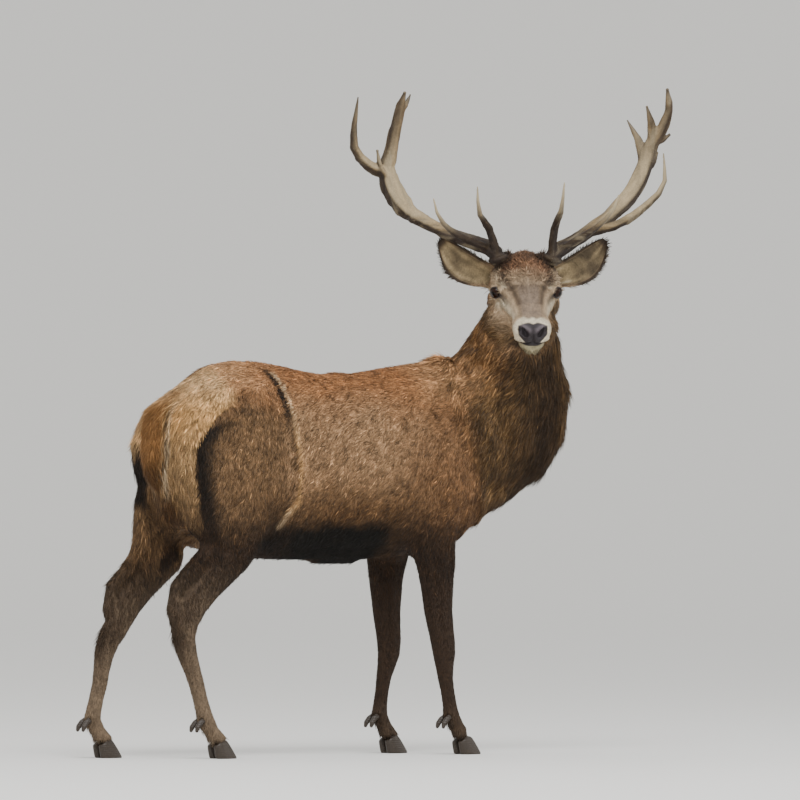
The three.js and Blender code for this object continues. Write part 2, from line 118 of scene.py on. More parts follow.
def count(label, text, value):
    """A number of tufts."""
    return bpy.props.IntProperty(name=label, description=text, default=value, min=100, max=200000)


def dye(label, text, value):
    """A colour, kept as the sRGB hex that a painter would write."""
    return bpy.props.StringProperty(name=label, description=text, default=value)


class StagStage(bpy.types.PropertyGroup):
    """The floor and the camera"""
    floor: dye("Floor", "Matt pale studio floor", "#f2f1ee")
    lens: bpy.props.FloatProperty(name="Lens", description="Focal length of the camera in mm",
                                  default=337.5, min=20, max=1000)
    stand_off: length("Stand-off", "Distance of the camera over the ground", 23.986, 100)
    eye_height: length("Camera height", "Height of the camera over the ground", 0.7296, 10)


class StagSkin(bpy.types.PropertyGroup):
    """How finely the skin is cut, and the seed of every random choice"""
    grain: length("Skin grain", "Face size of the skin under the body coat", 0.0115, 0.05)
    fine_grain: length("Fine grain", "Face size that the head's shape is taken at", 0.0036, 0.05)
    leg_grain: length("Leg grain", "Face size that the legs' shape is taken at", 0.0045, 0.05)
    seed: bpy.props.IntProperty(name="Seed", description="Start of every random choice", default=11)


# ---------------------------------------------------------------- meshes as arrays

def linear(hex_text):
    """sRGB hex to linear RGB: ((c + 0.055) / 1.055) ** 2.4 above 0.04045, c / 12.92 below."""
    c = np.array([int(hex_text.lstrip("#")[i:i + 2], 16) / 255 for i in (0, 2, 4)])
    return np.where(c > 0.04045, ((c + 0.055) / 1.055) ** 2.4, c / 12.92)


def corners(mesh):
    """A mesh's places and its triangles, as arrays."""
    co = np.empty(len(mesh.vertices) * 3, np.float32)
    mesh.vertices.foreach_get("co", co)
    mesh.calc_loop_triangles()
    tri = np.empty(len(mesh.loop_triangles) * 3, np.int32)
    mesh.loop_triangles.foreach_get("vertices", tri)
    return co.reshape(-1, 3).astype(float), tri.reshape(-1, 3)


def edges_of(mesh):
    """The two ends of each edge."""
    ends = np.empty(len(mesh.edges) * 2, np.int32)
    mesh.edges.foreach_get("vertices", ends)
    return ends.reshape(-1, 2)


def normals_of(co, tri):
    """Outward directions at the vertices: the mean of the faces round each, weighted by area."""
    face = np.cross(co[tri[:, 1]] - co[tri[:, 0]], co[tri[:, 2]] - co[tri[:, 0]])
    total = np.stack([sum(np.bincount(tri[:, k], face[:, axis], len(co)) for k in range(3))
                      for axis in range(3)], 1)
    return unit(total)


def closed_faces(rows, ring):
    """The triangles of a closed surface of rows of ring points each, one row after the other, followed
    by the pole before the first row and the pole after the last."""
    i, j = np.meshgrid(np.arange(rows - 1), np.arange(ring), indexing="ij")
    k = (j + 1) % ring
    quads = np.stack([i * ring + j, i * ring + k, (i + 1) * ring + k, (i + 1) * ring + j], -1).reshape(-1, 4)
    j = np.arange(ring)
    k = (j + 1) % ring
    last = (rows - 1) * ring
    first_cap = np.stack([np.full(ring, rows * ring), k, j], 1)
    last_cap = np.stack([np.full(ring, rows * ring + 1), last + j, last + k], 1)
    return np.concatenate([quads[:, [0, 1, 2]], quads[:, [0, 2, 3]], first_cap, last_cap])


def neighbour_mean(values, ends, counts):
    """At each vertex, the mean of its neighbours' values."""
    a, b = ends.T
    columns = [np.bincount(a, v[b], len(values)) + np.bincount(b, v[a], len(values))
               for v in values.T]
    return np.stack(columns, 1) / counts[:, None]


def neighbours(ends, size):
    """How many neighbours each vertex has."""
    return np.maximum(np.bincount(ends.ravel(), minlength=size), 1)


def eased(values, ends, rounds, amount=0.5, back=0.0):
    """Values smoothed over the mesh. Each round moves a vertex towards the mean of its neighbours by
    amount, then away from it by back, which keeps a shape from shrinking. Both may differ by vertex."""
    values = values.copy()
    counts = neighbours(ends, len(values))
    for _ in range(rounds):
        values += np.reshape(amount, (-1, 1)) * (neighbour_mean(values, ends, counts) - values)
        if np.any(back):
            values -= np.reshape(back, (-1, 1)) * (neighbour_mean(values, ends, counts) - values)
    return values


def ramp(x, low, high):
    """0 below low, 1 above high, smooth between: 3t^2 - 2t^3."""
    t = np.clip((x - low) / (high - low), 0, 1)
    return t * t * (3 - 2 * t)


def hump(x, centre, width):
    """1 at centre, falling away as exp(-(distance / width)^2)."""
    return np.exp(-((x - centre) / width) ** 2)


def line_distance(points, start, end):
    """Distance of each point from the line between start and end, and how far along it, 0 to 1."""
    start, end = np.asarray(start, float), np.asarray(end, float)
    run = end - start
    t = np.clip((points - start) @ run / max(run @ run, 1e-12), 0, 1)
    return np.linalg.norm(points - (start + t[:, None] * run), axis=1), t


CELL_PRIMES = np.array([73856093, 19349663, 83492791])  # scatter a cell's three numbers over a table


def noise(points, size, seed=0):
    """Smooth random values from -1 to 1 with lumps of this size: random values on a grid of cells,
    eased between cell corners by 3t^2 - 2t^3 along each axis."""
    table = np.random.default_rng(seed).uniform(-1, 1, 4096)
    cell = np.floor(points / size).astype(int)
    t = points / size - cell
    t = t * t * (3 - 2 * t)
    total = 0
    for dx in (0, 1):
        for dy in (0, 1):
            for dz in (0, 1):
                corner = (cell + [dx, dy, dz]) * CELL_PRIMES
                at = corner[:, 0] ^ corner[:, 1] ^ corner[:, 2]
                share = (np.abs(1 - dx - t[:, 0]) * np.abs(1 - dy - t[:, 1]) * np.abs(1 - dz - t[:, 2]))
                total = total + table[at % 4096] * share
    return total


def new_piece(name, co, faces, smooth=True):
    """A mesh object from arrays, riding on the body."""
    mesh = bpy.data.meshes.new(name)
    mesh.vertices.add(len(co))
    mesh.vertices.foreach_set("co", np.asarray(co, np.float32).ravel())
    faces = np.asarray(faces, np.int32)
    mesh.loops.add(faces.size)
    mesh.loops.foreach_set("vertex_index", faces.ravel())
    mesh.polygons.add(len(faces))
    mesh.polygons.foreach_set("loop_start", np.arange(len(faces), dtype=np.int32) * faces.shape[1])
    mesh.polygons.foreach_set("loop_total", np.full(len(faces), faces.shape[1], np.int32))
    mesh.update(calc_edges=True)
    mesh.polygons.foreach_set("use_smooth", np.full(len(faces), smooth))
    mesh.validate()
    piece = bpy.data.objects.new(name, mesh)
    bpy.context.scene.collection.objects.link(piece)
    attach(piece, "root")
    return piece


def keep_values(mesh, name, values, kind="FLOAT_COLOR"):
    """Stores one value a vertex as an attribute that a material can read."""
    layer = mesh.attributes.new(name, kind, "POINT")
    if kind == "FLOAT_COLOR":
        values = np.concatenate([values, np.ones((len(values), 1))], 1)
        layer.data.foreach_set("color", values.astype(np.float32).ravel())
    elif kind == "FLOAT_VECTOR":
        layer.data.foreach_set("vector", values.astype(np.float32).ravel())
    else:
        layer.data.foreach_set("value", values.astype(np.float32).ravel())


def remeshed(nodes, size, name):
    """Copies of CAD nodes, merged, joined into one closed surface by a voxel remesh of this size."""
    merged = bmesh.new()
    for node in nodes:
        merged.from_mesh(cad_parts[node].data)
    bmesh.ops.remove_doubles(merged, verts=merged.verts, dist=1e-5)
    mesh = bpy.data.meshes.new(name)
    merged.to_mesh(mesh)
    merged.free()
    rough = bpy.data.objects.new(name, mesh)
    bpy.context.scene.collection.objects.link(rough)
    voxels = rough.modifiers.new("Remesh", "REMESH")
    voxels.mode = "VOXEL"
    voxels.voxel_size = size
    voxels.use_smooth_shade = True
    found = bpy.data.meshes.new_from_object(rough.evaluated_get(bpy.context.evaluated_depsgraph_get()))
    bpy.data.objects.remove(rough)
    if not len(found.polygons):
        raise RuntimeError(f"the remesh of {name} came out empty")
    return found


# ---------------------------------------------------------------- the head

BURR = np.array([-0.055, 0.086, 0.094])  # the middle of the left coronet, as ahead, left and up
BURR_AXIS = unit([-0.31, 0.27, 0.91])
EYE_BALL = 0.0208
EYE_SET = np.array([0.005, -0.001, 0.0])  # how far the visible ball sits ahead of the CAD one
EYE_SIGHT = unit([0.76, 0.65, 0.05])  # which way the opening of the lids faces, on the left side
EYE_SLIT = unit(np.array([0.65, -0.74, -0.24]) - EYE_SIGHT * (EYE_SIGHT @ [0.65, -0.74, -0.24]))


def eye_centre(side):
    """Where the middle of an eyeball is, ahead, left and up in the head."""
    return to_head(EYES["left" if side > 0 else "right"]) + EYE_SET * [1, side, 1]


def lid_place(head_places, side):
    """Where points lie round an eye: their distance from its middle, and how far out of the opening of
    the lids they are, 0 at its centre and 1 at its almond-shaped rim."""
    from_eye = head_places - eye_centre(side)
    reach = np.linalg.norm(from_eye, axis=1)
    out, slit = EYE_SIGHT * [1, side, 1], EYE_SLIT * [1, side, 1]
    up = np.cross(slit, out) * -side
    ahead = from_eye @ out
    across = np.arctan2(from_eye @ slit, ahead)
    rise = np.arctan2(from_eye @ up, ahead)
    return reach, np.hypot(across / 1.12, (rise - 0.07 * across) / 1.10), rise


def with_lids(co):
    """The skin drawn over each eyeball: inside it within the opening, a rounded rim just outside it,
    a fold above the upper lid and the socket's edge fading into the skull."""
    for side in (-1, 1):
        centre = from_head(eye_centre(side))
        reach, out, rise = lid_place(to_head(co), side)
        wanted = EYE_BALL + np.where(out < 1, -0.0035, 0.0017)
        wanted = np.where(out < 1, EYE_BALL - 0.0035 + 0.0052 * ramp(out, 0.86, 1.0), wanted)
        wanted = wanted + 0.0030 * ramp(out, 1.0, 1.5) - 0.0022 * hump(out, 1.45, 0.12) * (rise > 0)
        wanted = wanted + 0.0035 * hump(out, 1.75, 0.3) * ramp(rise, 0.1, 0.5)
        share = (1 - ramp(out, 1.25, 2.3)) * (1 - ramp(reach, 0.040, 0.055))
        way = (co - centre) / np.maximum(reach, 1e-6)[:, None]
        co = co + way * (share * (wanted - reach))[:, None]
    return co


# The face's forms on both sides, from places ahead, aside and up between the eyes, in metres: a line,
# its width and its lift.
FACE_FORMS = {
    "brow": ((-0.030, 0.086, 0.040), (0.020, 0.078, 0.038), 0.015, 0.007),
    "hollow before the eye": ((0.050, 0.072, -0.002), (0.080, 0.058, -0.002), 0.013, -0.004),
    "tear pit": ((0.040, 0.083, -0.014), (0.060, 0.072, -0.020), 0.0045, -0.0050),
    "cheek bone": ((0.020, 0.094, -0.038), (0.100, 0.064, -0.036), 0.014, 0.006),
    "hollow of the cheek": ((0.075, 0.076, -0.066), (0.150, 0.050, -0.062), 0.020, -0.006),
    "jaw muscle": ((-0.050, 0.105, -0.070), (0.000, 0.094, -0.070), 0.040, -0.006),
    "side of the muzzle": ((0.195, 0.058, -0.044), (0.226, 0.060, -0.050), 0.026, 0.006),
    "bridge edge": ((0.060, 0.036, 0.036), (0.180, 0.030, 0.006), 0.012, 0.0025),
    "wing of the nose": ((0.257, 0.014, -0.030), (0.247, 0.040, -0.018), 0.0065, 0.0050),
    "under the nostril": ((0.257, 0.016, -0.055), (0.245, 0.043, -0.046), 0.0060, 0.0040),
    "nostril": ((0.262, 0.022, -0.046), (0.252, 0.038, -0.028), 0.0068, -0.0160),
    "nostril's outer slit": ((0.252, 0.037, -0.030), (0.238, 0.050, -0.036), 0.0042, -0.0080),
    "mouth": ((0.256, 0.000, -0.076), (0.240, 0.040, -0.083), 0.0050, -0.0100),
    "mouth's corner": ((0.240, 0.044, -0.083), (0.165, 0.045, -0.082), 0.0042, -0.0055),
    "upper lip": ((0.254, 0.014, -0.067), (0.225, 0.052, -0.070), 0.008, 0.0035),
    "lower lip": ((0.246, 0.012, -0.094), (0.222, 0.036, -0.094), 0.009, 0.0035),
    "chin": ((0.228, 0.006, -0.108), (0.190, 0.016, -0.108), 0.016, 0.0080),
}


def with_face(co, tri):
    """The head's bones, hollows, nostrils, lips and lids."""
    for a, b, width, lift in FACE_FORMS.values():
        normals = normals_of(co, tri)
        for side in (-1, 1):
            start, end = from_head([a[0], a[1] * side, a[2]]), from_head([b[0], b[1] * side, b[2]])
            co = raised(co, normals, start, end, width, lift)
    normals = normals_of(co, tri)
    co = raised(co, normals, from_head([0.259, 0, -0.048]), from_head([0.256, 0, -0.074]), 0.0035, -0.004)
    co = raised(co, normals, from_head([0.05, 0, 0.044]), from_head([0.20, 0, 0.006]), 0.010, -0.0015)
    co = raised(co, normals, from_head([-0.09, 0, 0.09]), from_head([-0.04, 0, 0.08]), 0.040, 0.006)
    return with_lids(co)


# ---------------------------------------------------------------- the ears

EAR_ROOT = np.array([-0.092, 0.104, 0.010])
EAR_ALONG = unit([-0.34, 0.80, 0.49])
EAR_OPENING = unit([0.91, 0.15, 0.41])
EAR_LENGTH = 0.206
EAR_DROOP = 0.024  # how far its middle sags below the line from root to tip


def ear_shell(side, rows=44, columns=26):
    """One ear as a closed cup. Along it s runs from root to tip and across it an angle a runs to 1.25
    either way: across sin a (half width) and back cos a (depth), once for the outer wall and once,
    a wall's thickness smaller, for the inner; the two meet at a rounded rim."""
    root, along, opening = EAR_ROOT * [1, side, 1], EAR_ALONG * [1, side, 1], EAR_OPENING * [1, side, 1]
    across = unit(np.cross(opening, along) * side)
    face = np.cross(along, across) * side
    s = np.linspace(-0.20, 1, rows)[:, None]
    t = np.clip(s, 0, 1)
    neck = 1 - 0.55 * (np.clip(-s, 0, 1) / 0.20) ** 1.3
    leaf = np.sin(np.pi * np.minimum(1, 0.16 + 0.84 * t) ** 1.15) ** 0.75
    half = 0.009 + 0.044 * leaf + 0.010 * (1 - t) ** 3
    half, depth = half * neck, (0.026 * (1 - t) ** 0.6 + 0.005) * neck
    wall = 0.0026 + 0.0024 * (1 - t) ** 2
    droop = -EAR_DROOP * np.sin(np.pi * t)
    turn = np.linspace(-1.25, 1.25, columns)[None]
    ripple = 0.0016 * np.sin(9 * t) * (turn / 1.25) ** 2
    rings = []
    for inset, angle in ((0 * wall, turn), (wall, turn[:, ::-1])):
        out, deep = np.sin(angle) * (half - inset * 0.8), -np.cos(angle) * (depth - inset) + depth * 0.4
        rings.append((out, deep + ripple))
    out = np.concatenate([rings[0][0], rings[1][0]], 1)
    deep = np.concatenate([rings[0][1], rings[1][1]], 1)
    line = root + along * (s * EAR_LENGTH)[:, :1] + across * droop
    places = line[:, None] + across * out[..., None] + face * deep[..., None]
    co = from_head(places.reshape(-1, 3))
    ring = 2 * columns
    ends = np.array([co[:ring].mean(0), co[-ring:].mean(0)])
    faces = closed_faces(rows, ring)
    if side > 0:
        faces = faces[:, ::-1]
    hollow = np.concatenate([np.tile(np.repeat([0.0, 1.0], columns), rows), [0, 0]])
    edge = np.concatenate([np.tile(np.abs(np.concatenate([turn[0], turn[0, ::-1]])) / 1.25, rows), [0, 1]])
    reach = np.concatenate([np.repeat(t[:, 0], ring), [0, 1]])
    return np.concatenate([co, ends]), faces, {"inner": hollow, "edge": edge, "reach": reach}


# ---------------------------------------------------------------- the skin

PARTS = ["trunk", "neck", "head", "tail", "foreleg_right", "foreleg_left",
         "hindleg_right", "hindleg_left"]
LIMBS = PARTS[PARTS.index("foreleg_right"):]
EAR_KEYS = ("inner", "edge", "reach", "side")  # what is kept of the ears; side is 0 off them
SIDE = EAR_KEYS.index("side")


def part_shares(co, ends, rounds=14):
    """How far each vertex belongs to each of PARTS: 1 for the CAD node nearest to it, then smoothed
    over the mesh so that one part runs into the next."""
    places, faces, owner = [], [], []
    start = 0
    for node in FLESH[:5] + FLESH[7:]:
        p, tri = corners(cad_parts[node].data)
        places.append(p)
        faces.append(tri + start)
        owner += [PARTS.index("head" if node == "nose" else node)] * len(tri)
        start += len(p)
    tree = BVHTree.FromPolygons(np.concatenate(places).tolist(), np.concatenate(faces).tolist())
    nearest = np.array([owner[tree.find_nearest(p)[2]] for p in co.tolist()])
    return eased(np.eye(len(PARTS))[nearest], ends, rounds)


def coat_depth(co, shares):
    """How far the skin lies under the CAD surface: the coat's own depth, least on face and feet."""
    share = dict(zip(PARTS, shares.T))
    legs = sum(share[p] for p in LIMBS)
    on_leg = 0.0025 + 0.0075 * ramp(co[:, 2], 0.45, 0.8)
    throat = share["neck"] * (0.008 + 0.006 * ramp(co[:, 0], spot("neck", 0.3, 0, 0)[0], BOX["neck"][1][0])
                              + 0.014 * ramp(1.0 - co[:, 2], 0, 0.15))
    return share["trunk"] * 0.005 + throat + share["head"] * 0.002 + share["tail"] * 0.016 + legs * on_leg


def subdivided(mesh, chosen):
    """Halves the edges whose both ends are chosen, which quarters the faces between them."""
    shape = bmesh.new()
    shape.from_mesh(mesh)
    shape.verts.ensure_lookup_table()
    edges = [e for e in shape.edges if chosen[e.verts[0].index] and chosen[e.verts[1].index]]
    bmesh.ops.subdivide_edges(shape, edges=edges, cuts=1, use_grid_fill=True)
    shape.to_mesh(mesh)
    shape.free()
    return mesh


def snapped(co, share, finer):
    """Vertices moved to the nearest place on a finer mesh, as far as their share says."""
    p, tri = corners(finer)
    tree = BVHTree.FromPolygons(p.tolist(), tri.tolist())
    near = np.array([tree.find_nearest(q)[0][:] if s > 0.01 else q for q, s in zip(co.tolist(), share)])
    return co + share[:, None] * (near - co)


def raised(co, normals, start, end, width, lift, facing=None):
    """The skin lifted along its own normal by lift near a line, falling off as exp(-(d / width)^2).
    With facing, only the side that looks that way moves."""
    d, _ = line_distance(co, start, end)
    amount = lift * np.exp(-(d / width) ** 2)
    if facing is not None:
        amount = amount * np.clip(normals @ unit(facing), 0, 1)
    return co + normals * amount[:, None]


def on_flank(along, up, side):
    """A place on the trunk's side, from fractions of its length and height; side is -1 right, 1 left."""
    x, _, z = spot("trunk", along, 0.5, up)
    return np.array([x, middle("trunk")[1] + side * 0.46 * np.ptp(BOX["trunk"][:, 1]), z])


# Forms under the coat, on both sides: a path of (along, up) fractions of the trunk, the width and
# the lift in metres. Hollows have a negative lift.
FORMS = {
    "hip bone": ([(0.33, 0.97), (0.37, 0.92)], 0.045, 0.012),
    "croup": ([(0.12, 0.98), (0.24, 1.00)], 0.075, 0.020),
    "buttock": ([(0.02, 0.76), (0.03, 0.30)], 0.070, 0.018),
    "hollow before the hip": ([(0.43, 0.84), (0.47, 0.74)], 0.060, -0.016),
    "haunch": ([(0.22, 0.74), (0.27, 0.46)], 0.085, 0.015),
    "groove behind the thigh": ([(0.13, 0.62), (0.14, 0.30)], 0.030, -0.008),
    "seat bone": ([(0.04, 0.80), (0.05, 0.72)], 0.040, 0.008),
    "last ribs": ([(0.53, 0.70), (0.49, 0.40)], 0.050, 0.007),
    "hollow behind the shoulder": ([(0.75, 0.78), (0.77, 0.34)], 0.048, -0.011),
    "shoulder blade": ([(0.84, 0.95), (0.92, 0.52)], 0.040, 0.009),
    "upper arm": ([(0.95, 0.44), (0.84, 0.26)], 0.050, 0.013),
    "hollow before the shoulder": ([(0.93, 0.90), (1.00, 0.62)], 0.038, -0.007),
}
CREASE = [(0.329, 0.941), (0.351, 0.802), (0.363, 0.605), (0.375, 0.457), (0.372, 0.310), (0.326, 0.177)]


def later_forms():
    """The forms of the spine, the seat, the neck's foot and the belly: from one place to another, a
    width, a lift and which way the skin that they lift faces."""
    yield spot("trunk", 0.30, 0.5, 1.00), spot("trunk", 0.55, 0.5, 0.95), 0.05, 0.012, UP  # the loin
    yield spot("trunk", 0.55, 0.5, 0.95), spot("trunk", 0.85, 0.5, 1.00), 0.03, 0.005, UP  # the back
    for side in (-1, 1):
        seat = np.array([-0.765, middle("trunk")[1] + side * 0.15, 0])
        for top, foot, lift in ((1.10, 1.00, 0.020), (0.88, 0.74, 0.008)):
            yield seat + UP * top, seat + UP * foot, 0.050, lift, [-0.9, side * 0.5, 0.2]
        cleft = middle("tail") + [0, side * 0.092, 0]
        yield cleft + [0.02, 0, 0.08], cleft - [0.01, 0, 0.13], 0.012, -0.022, [-1, 0, 0]
    yield spot("trunk", 0.12, 0.5, 0.99), spot("trunk", 0.22, 0.5, 1.00), 0.06, 0.020, UP  # the croup
    yield spot("trunk", 0.88, 0.5, 0.99), spot("trunk", 1.02, 0.44, 1.05), 0.07, 0.026, None  # the withers
    yield (-0.69, 0.10, 0.71), (-0.62, 0.18, 0.67), 0.045, -0.035, -UP  # where the thighs part
    yield (0.29, 0.06, 1.29), (0.33, 0.05, 1.33), 0.040, -0.014, [-0.87, 0.5, 0]  # the nape
    yield (0.26, 0.10, 1.26), (0.32, 0.09, 1.27), 0.045, 0.014, UP  # the foot of the neck
    yield spot("trunk", 0.50, 0.5, 0.04), spot("trunk", 0.60, 0.5, 0.04), 0.030, 0.030, -UP  # the sheath


def with_forms(co, tri):
    """The trunk's bones, muscles and hollows, the fold before the thigh, the spine and the sheath."""
    normals = normals_of(co, tri)
    for side in (-1, 1):
        out = np.array([0, side, 0.0])
        for path, width, lift in FORMS.values():
            co = raised(co, normals, on_flank(*path[0], side), on_flank(*path[1], side), width, lift, out)
        for a, b in zip(CREASE[:-1], CREASE[1:]):
            start, end = on_flank(*a, side), on_flank(*b, side)
            co = raised(co, normals, start, end, 0.016, 0.007, out)
            co = raised(co, normals, start - [0.03, 0, 0], end - [0.03, 0, 0], 0.018, -0.004, out)
    for start, end, width, lift, facing in later_forms():
        co = raised(co, normals, start, end, width, lift, facing)
    return co


def near_head(co, low, reach=9.0, eye=0.0):
    """Which vertices lie ahead of a place on the face, or within a distance of an eye."""
    ahead, left, rise = to_head(co).T
    to_eye = np.linalg.norm(np.stack([ahead, np.abs(left) - to_head(EYES["left"])[1], rise], 1), axis=1)
    in_front = (ahead > low) & (ahead < 0.32) & (np.abs(left) < reach) & (rise > -0.14) & (rise < 0.2)
    return in_front | (to_eye < eye)


def cut_finer(mesh, co, where):
    """The mesh with its vertices at these places and its faces cut finer round the chosen ones; and its
    new places, triangles and edges."""
    mesh.vertices.foreach_set("co", co.astype(np.float32).ravel())
    mesh = subdivided(mesh, where)
    return (mesh, *corners(mesh), edges_of(mesh))


class StagSkinMaker(bpy.types.Operator):
    """Makes the one skin that stands for every flesh node of the frame"""
    bl_idname = "stag.skin"
    bl_label = "Skin"

    def execute(self, context):
        size = context.scene.stag_skin
        body = [n for n in FLESH if not n.startswith("ear")] + ["eye_right", "eye_left"]
        mesh = remeshed(body, size.grain, "skin")
        co, tri = corners(mesh)
        ends = edges_of(mesh)
        share = dict(zip(PARTS, part_shares(co, ends).T))
        torso = np.clip(share["trunk"] + share["neck"], 0, 1) + ramp(co[:, 2], 0.62, 0.72)
        calm = 0.5 * np.clip(torso, 0, 1) * (1 - ramp(share["head"], 0.1, 0.6))
        co = eased(co, ends, 34, calm, calm * 0.9)
        co = eased(co, ends, 6, 0.3, 0.31)
        co = with_forms(co, tri)

        mesh, co, tri, ends = cut_finer(mesh, co, (share["head"] > 0.4) | (co[:, 2] < 0.50))
        share = dict(zip(PARTS, part_shares(co, ends).T))
        head = remeshed(["head", "nose", "eye_right", "eye_left"], size.fine_grain, "head")
        legs = remeshed(LIMBS, size.leg_grain, "legs")
        co = snapped(co, ramp(share["head"], 0.7, 0.95), head)
        co = snapped(co, ramp(0.48 - co[:, 2], 0, 0.05), legs)
        calm = 0.5 * ramp(share["head"] + (co[:, 2] < 0.5), 0.2, 0.6)
        co = eased(co, ends, 6, calm, calm * 1.04)
        for low, reach, eye in ((-0.05, 0.20, 0.050), (0.215, 0.066, 0.034)):
            mesh, co, tri, ends = cut_finer(mesh, co, near_head(co, low, reach, eye))
            close = 0.5 * near_head(co, low, reach, eye)
            co = eased(co, ends, 3, close, close * 1.04)
        shares = part_shares(co, ends)
        co = co - normals_of(co, tri) * coat_depth(co, shares)[:, None]
        co = with_face(co, tri)
        mesh.vertices.foreach_set("co", co.astype(np.float32).ravel())
        return self.finished(context, mesh, shares)

    def finished(self, context, mesh, shares):
        """Joins the ears to the skin and gives it its markings and finish."""
        shape = bmesh.new()
        shape.from_mesh(mesh)
        on_ear = {key: [np.zeros(len(shares))] for key in EAR_KEYS}
        for side in (-1, 1):
            co, faces, places = ear_shell(side)
            ear = bpy.data.meshes.new("ear")
            ear.from_pydata(co.tolist(), [], faces.tolist())
            shape.from_mesh(ear)
            for key in places:
                on_ear[key].append(places[key])
            on_ear["side"].append(np.full(len(co), float(side)))
        shape.to_mesh(mesh)
        shape.free()
        extra = len(mesh.vertices) - len(shares)
        shares = np.concatenate([shares, np.tile(np.eye(len(PARTS))[PARTS.index("head")], (extra, 1))])
        on_ear = {key: np.concatenate(values) for key, values in on_ear.items()}
        co, tri = corners(mesh)
        normals = normals_of(co, tri)
        dyes = context.scene.stag_colours
        rgb = coat_colours(co, normals, shares, dyes)
        rgb = ear_colours(rgb, co, on_ear, dyes)
        for part, values in zip(PARTS, shares.T):
            keep_values(mesh, "part_" + part, values, "FLOAT")
        for key, values in on_ear.items():
            keep_values(mesh, "ear_" + key, values, "FLOAT")
        keep_values(mesh, "dye", rgb)
        keep_values(mesh, "bare", bare_skin(co, shares), "FLOAT")
        mesh.materials.append(short_deer_hair())
        mesh.polygons.foreach_set("use_smooth", np.ones(len(mesh.polygons), bool))
        mesh.update()
        skin = bpy.data.objects.new("skin", mesh)
        context.scene.collection.objects.link(skin)
        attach(skin, "root")
        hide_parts(*FLESH)
        return {"FINISHED"}


# ---------------------------------------------------------------- markings, for skin and coat alike

class StagColours(bpy.types.PropertyGroup):
    """The colours of hair and bare skin; several also serve as painted shade and painted highlights"""
    flank: dye("Flank", "Grey-tan side of the body", "#9f7d5b")
    back: dye("Back", "Rust red along the spine", "#a16f46")
    croup: dye("Croup", "Pale tan over the hips", "#c5986c")
    # thigh brown, also used as painted light on the far hind thigh and as painted shade at the foot of the
    # pale rump patch
    haunch: dye("Haunch", "Thigh", "#7a5e41")
    shoulder: dye("Shoulder", "Shoulder and upper arm", "#805d3e")
    # dark brown hair, also used as painted shade low on the body, between the thighs and under the tail
    low_flank_and_shade: dye("Low flank", "Dark brown over the ribs and between the thighs", "#52381e")
    # a dark belly, made nearly black as painted shade under the body and in the groin
    under: dye("Underside", "Nearly black belly", "#0b0602")
    rump: dye("Rump patch", "Cream-tan hair round the tail", "#b08d62")
    # tan top of the rump, also used as a painted highlight on the fold before the thigh and as painted light
    # on the far side of the rump
    sand_and_highlight: dye("Sand", "Tan top of the rump", "#ddad71")
    # black line behind the thigh, also used as painted shadow in the fold before the thigh and beside the
    # tail
    stripe_and_shadow: dye("Rump stripe", "Black line behind the thigh", "#130c07")
    tail: dye("Tail", "Rust tail", "#93693e")
    mane: dye("Mane", "Dark grizzled neck", "#60492e")
    # dark throat hair, also used as painted shade under the jaw and chin
    throat: dye("Throat", "Darkest hair under the jaw", "#302215")
    leg: dye("Leg", "Dark brown of the upper legs", "#2f1f11")
    # greyer hair low on the legs, also used as a painted sheen down the hind shins
    shin: dye("Shin", "Greyer hair under hock and knee", "#75634f")
    face: dye("Face", "Grey-tan cheeks and bridge", "#b79e80")
    forehead: dye("Forehead", "Rust curls between the antlers", "#866248")
    bridge: dye("Bridge", "Grey-brown bridge of the nose", "#7d6d60")
    # dark face lines, also used as painted shade where the lips meet
    streak: dye("Streak", "Dark line from the eye's inner corner", "#43352a")
    pale: dye("Pale", "Round the eyes", "#b9a488")
    muzzle: dye("Muzzle", "White band round the nose", "#d8cbb1")
    # white hair of the muzzle, also used as a painted highlight on the fold before the thigh and beside the
    # tail, and as painted light on the far side of the rump
    chin: dye("Chin", "Olive-cream hair of the chin", "#9c9274")
    # a painted highlight on the wet ridges beside the nostrils
    damp: dye("Nose ridge", "Grey lilac of the nostril ridges", "#665d62")
    nose: dye("Nose", "Bare damp skin", "#2b2528")
    ear: dye("Ear hair", "Cream hair in the ear", "#a38f6c")
    rim: dye("Ear rim", "Dark edge of the ear", "#2c221b")

def mixed(base, hex_text, weight):
    """base changed towards a colour by weight, point by point."""
    return base + np.clip(weight, 0, 1)[:, None] * (linear(hex_text) - base)


def near(points, start, end, width):
    """1 on the line between start and end, falling away as exp(-(distance / width)^2)."""
    return hump(line_distance(points, start, end)[0], 0, width)


FORE_RIGHT = np.array([0.8665, -0.5, 0])  # between the chest and the right side

# The front edge of the pale rump: height up the trunk, and the place along it, as fractions.
RUMP_EDGE = ([0.0, 0.143, 0.264, 0.432, 0.577, 0.722, 0.80],
             [0.086, 0.078, 0.064, 0.046, 0.050, 0.107, 0.16])


def near_path(flat, path):
    """Distance in metres, on a flat picture of the flank, from a path given in fractions of the trunk."""
    size = np.ptp(BOX["trunk"], 0)[[0, 2]]
    path = [np.array(p) * size for p in path]
    return np.min([line_distance(flat * size, a, b)[0] for a, b in zip(path[:-1], path[1:])], axis=0)


def surveyed(co, normals, shares):
    """What the markings are worked out from, at each point: the parts it belongs to, how far along
    and up the trunk's box it is, its side, and a slow random wobble that frays every edge."""
    along, up = ((co - BOX["trunk"][0]) / np.ptp(BOX["trunk"], 0)).T[[0, 2]]
    return SimpleNamespace(
        co=co, normals=normals, share=dict(zip(PARTS, shares.T)), along=along, up=up,
        side=np.where(co[:, 1] < middle("trunk")[1], -1.0, 1.0),
        wobble=noise(co, 0.11, 1) * 0.6 + noise(co, 0.04, 2) * 0.4)


def coat_colours(co, normals, shares, dyes):
    """The stag's markings as a formula of place: linear RGB at each point."""
    at = surveyed(co, normals, shares)
    rgb = trunk_colours(at, dyes)
    for marked in (fold_colours, rump_colours, neck_colours, leg_colours, face_colours):
        rgb = marked(rgb, at, dyes)
    return rgb


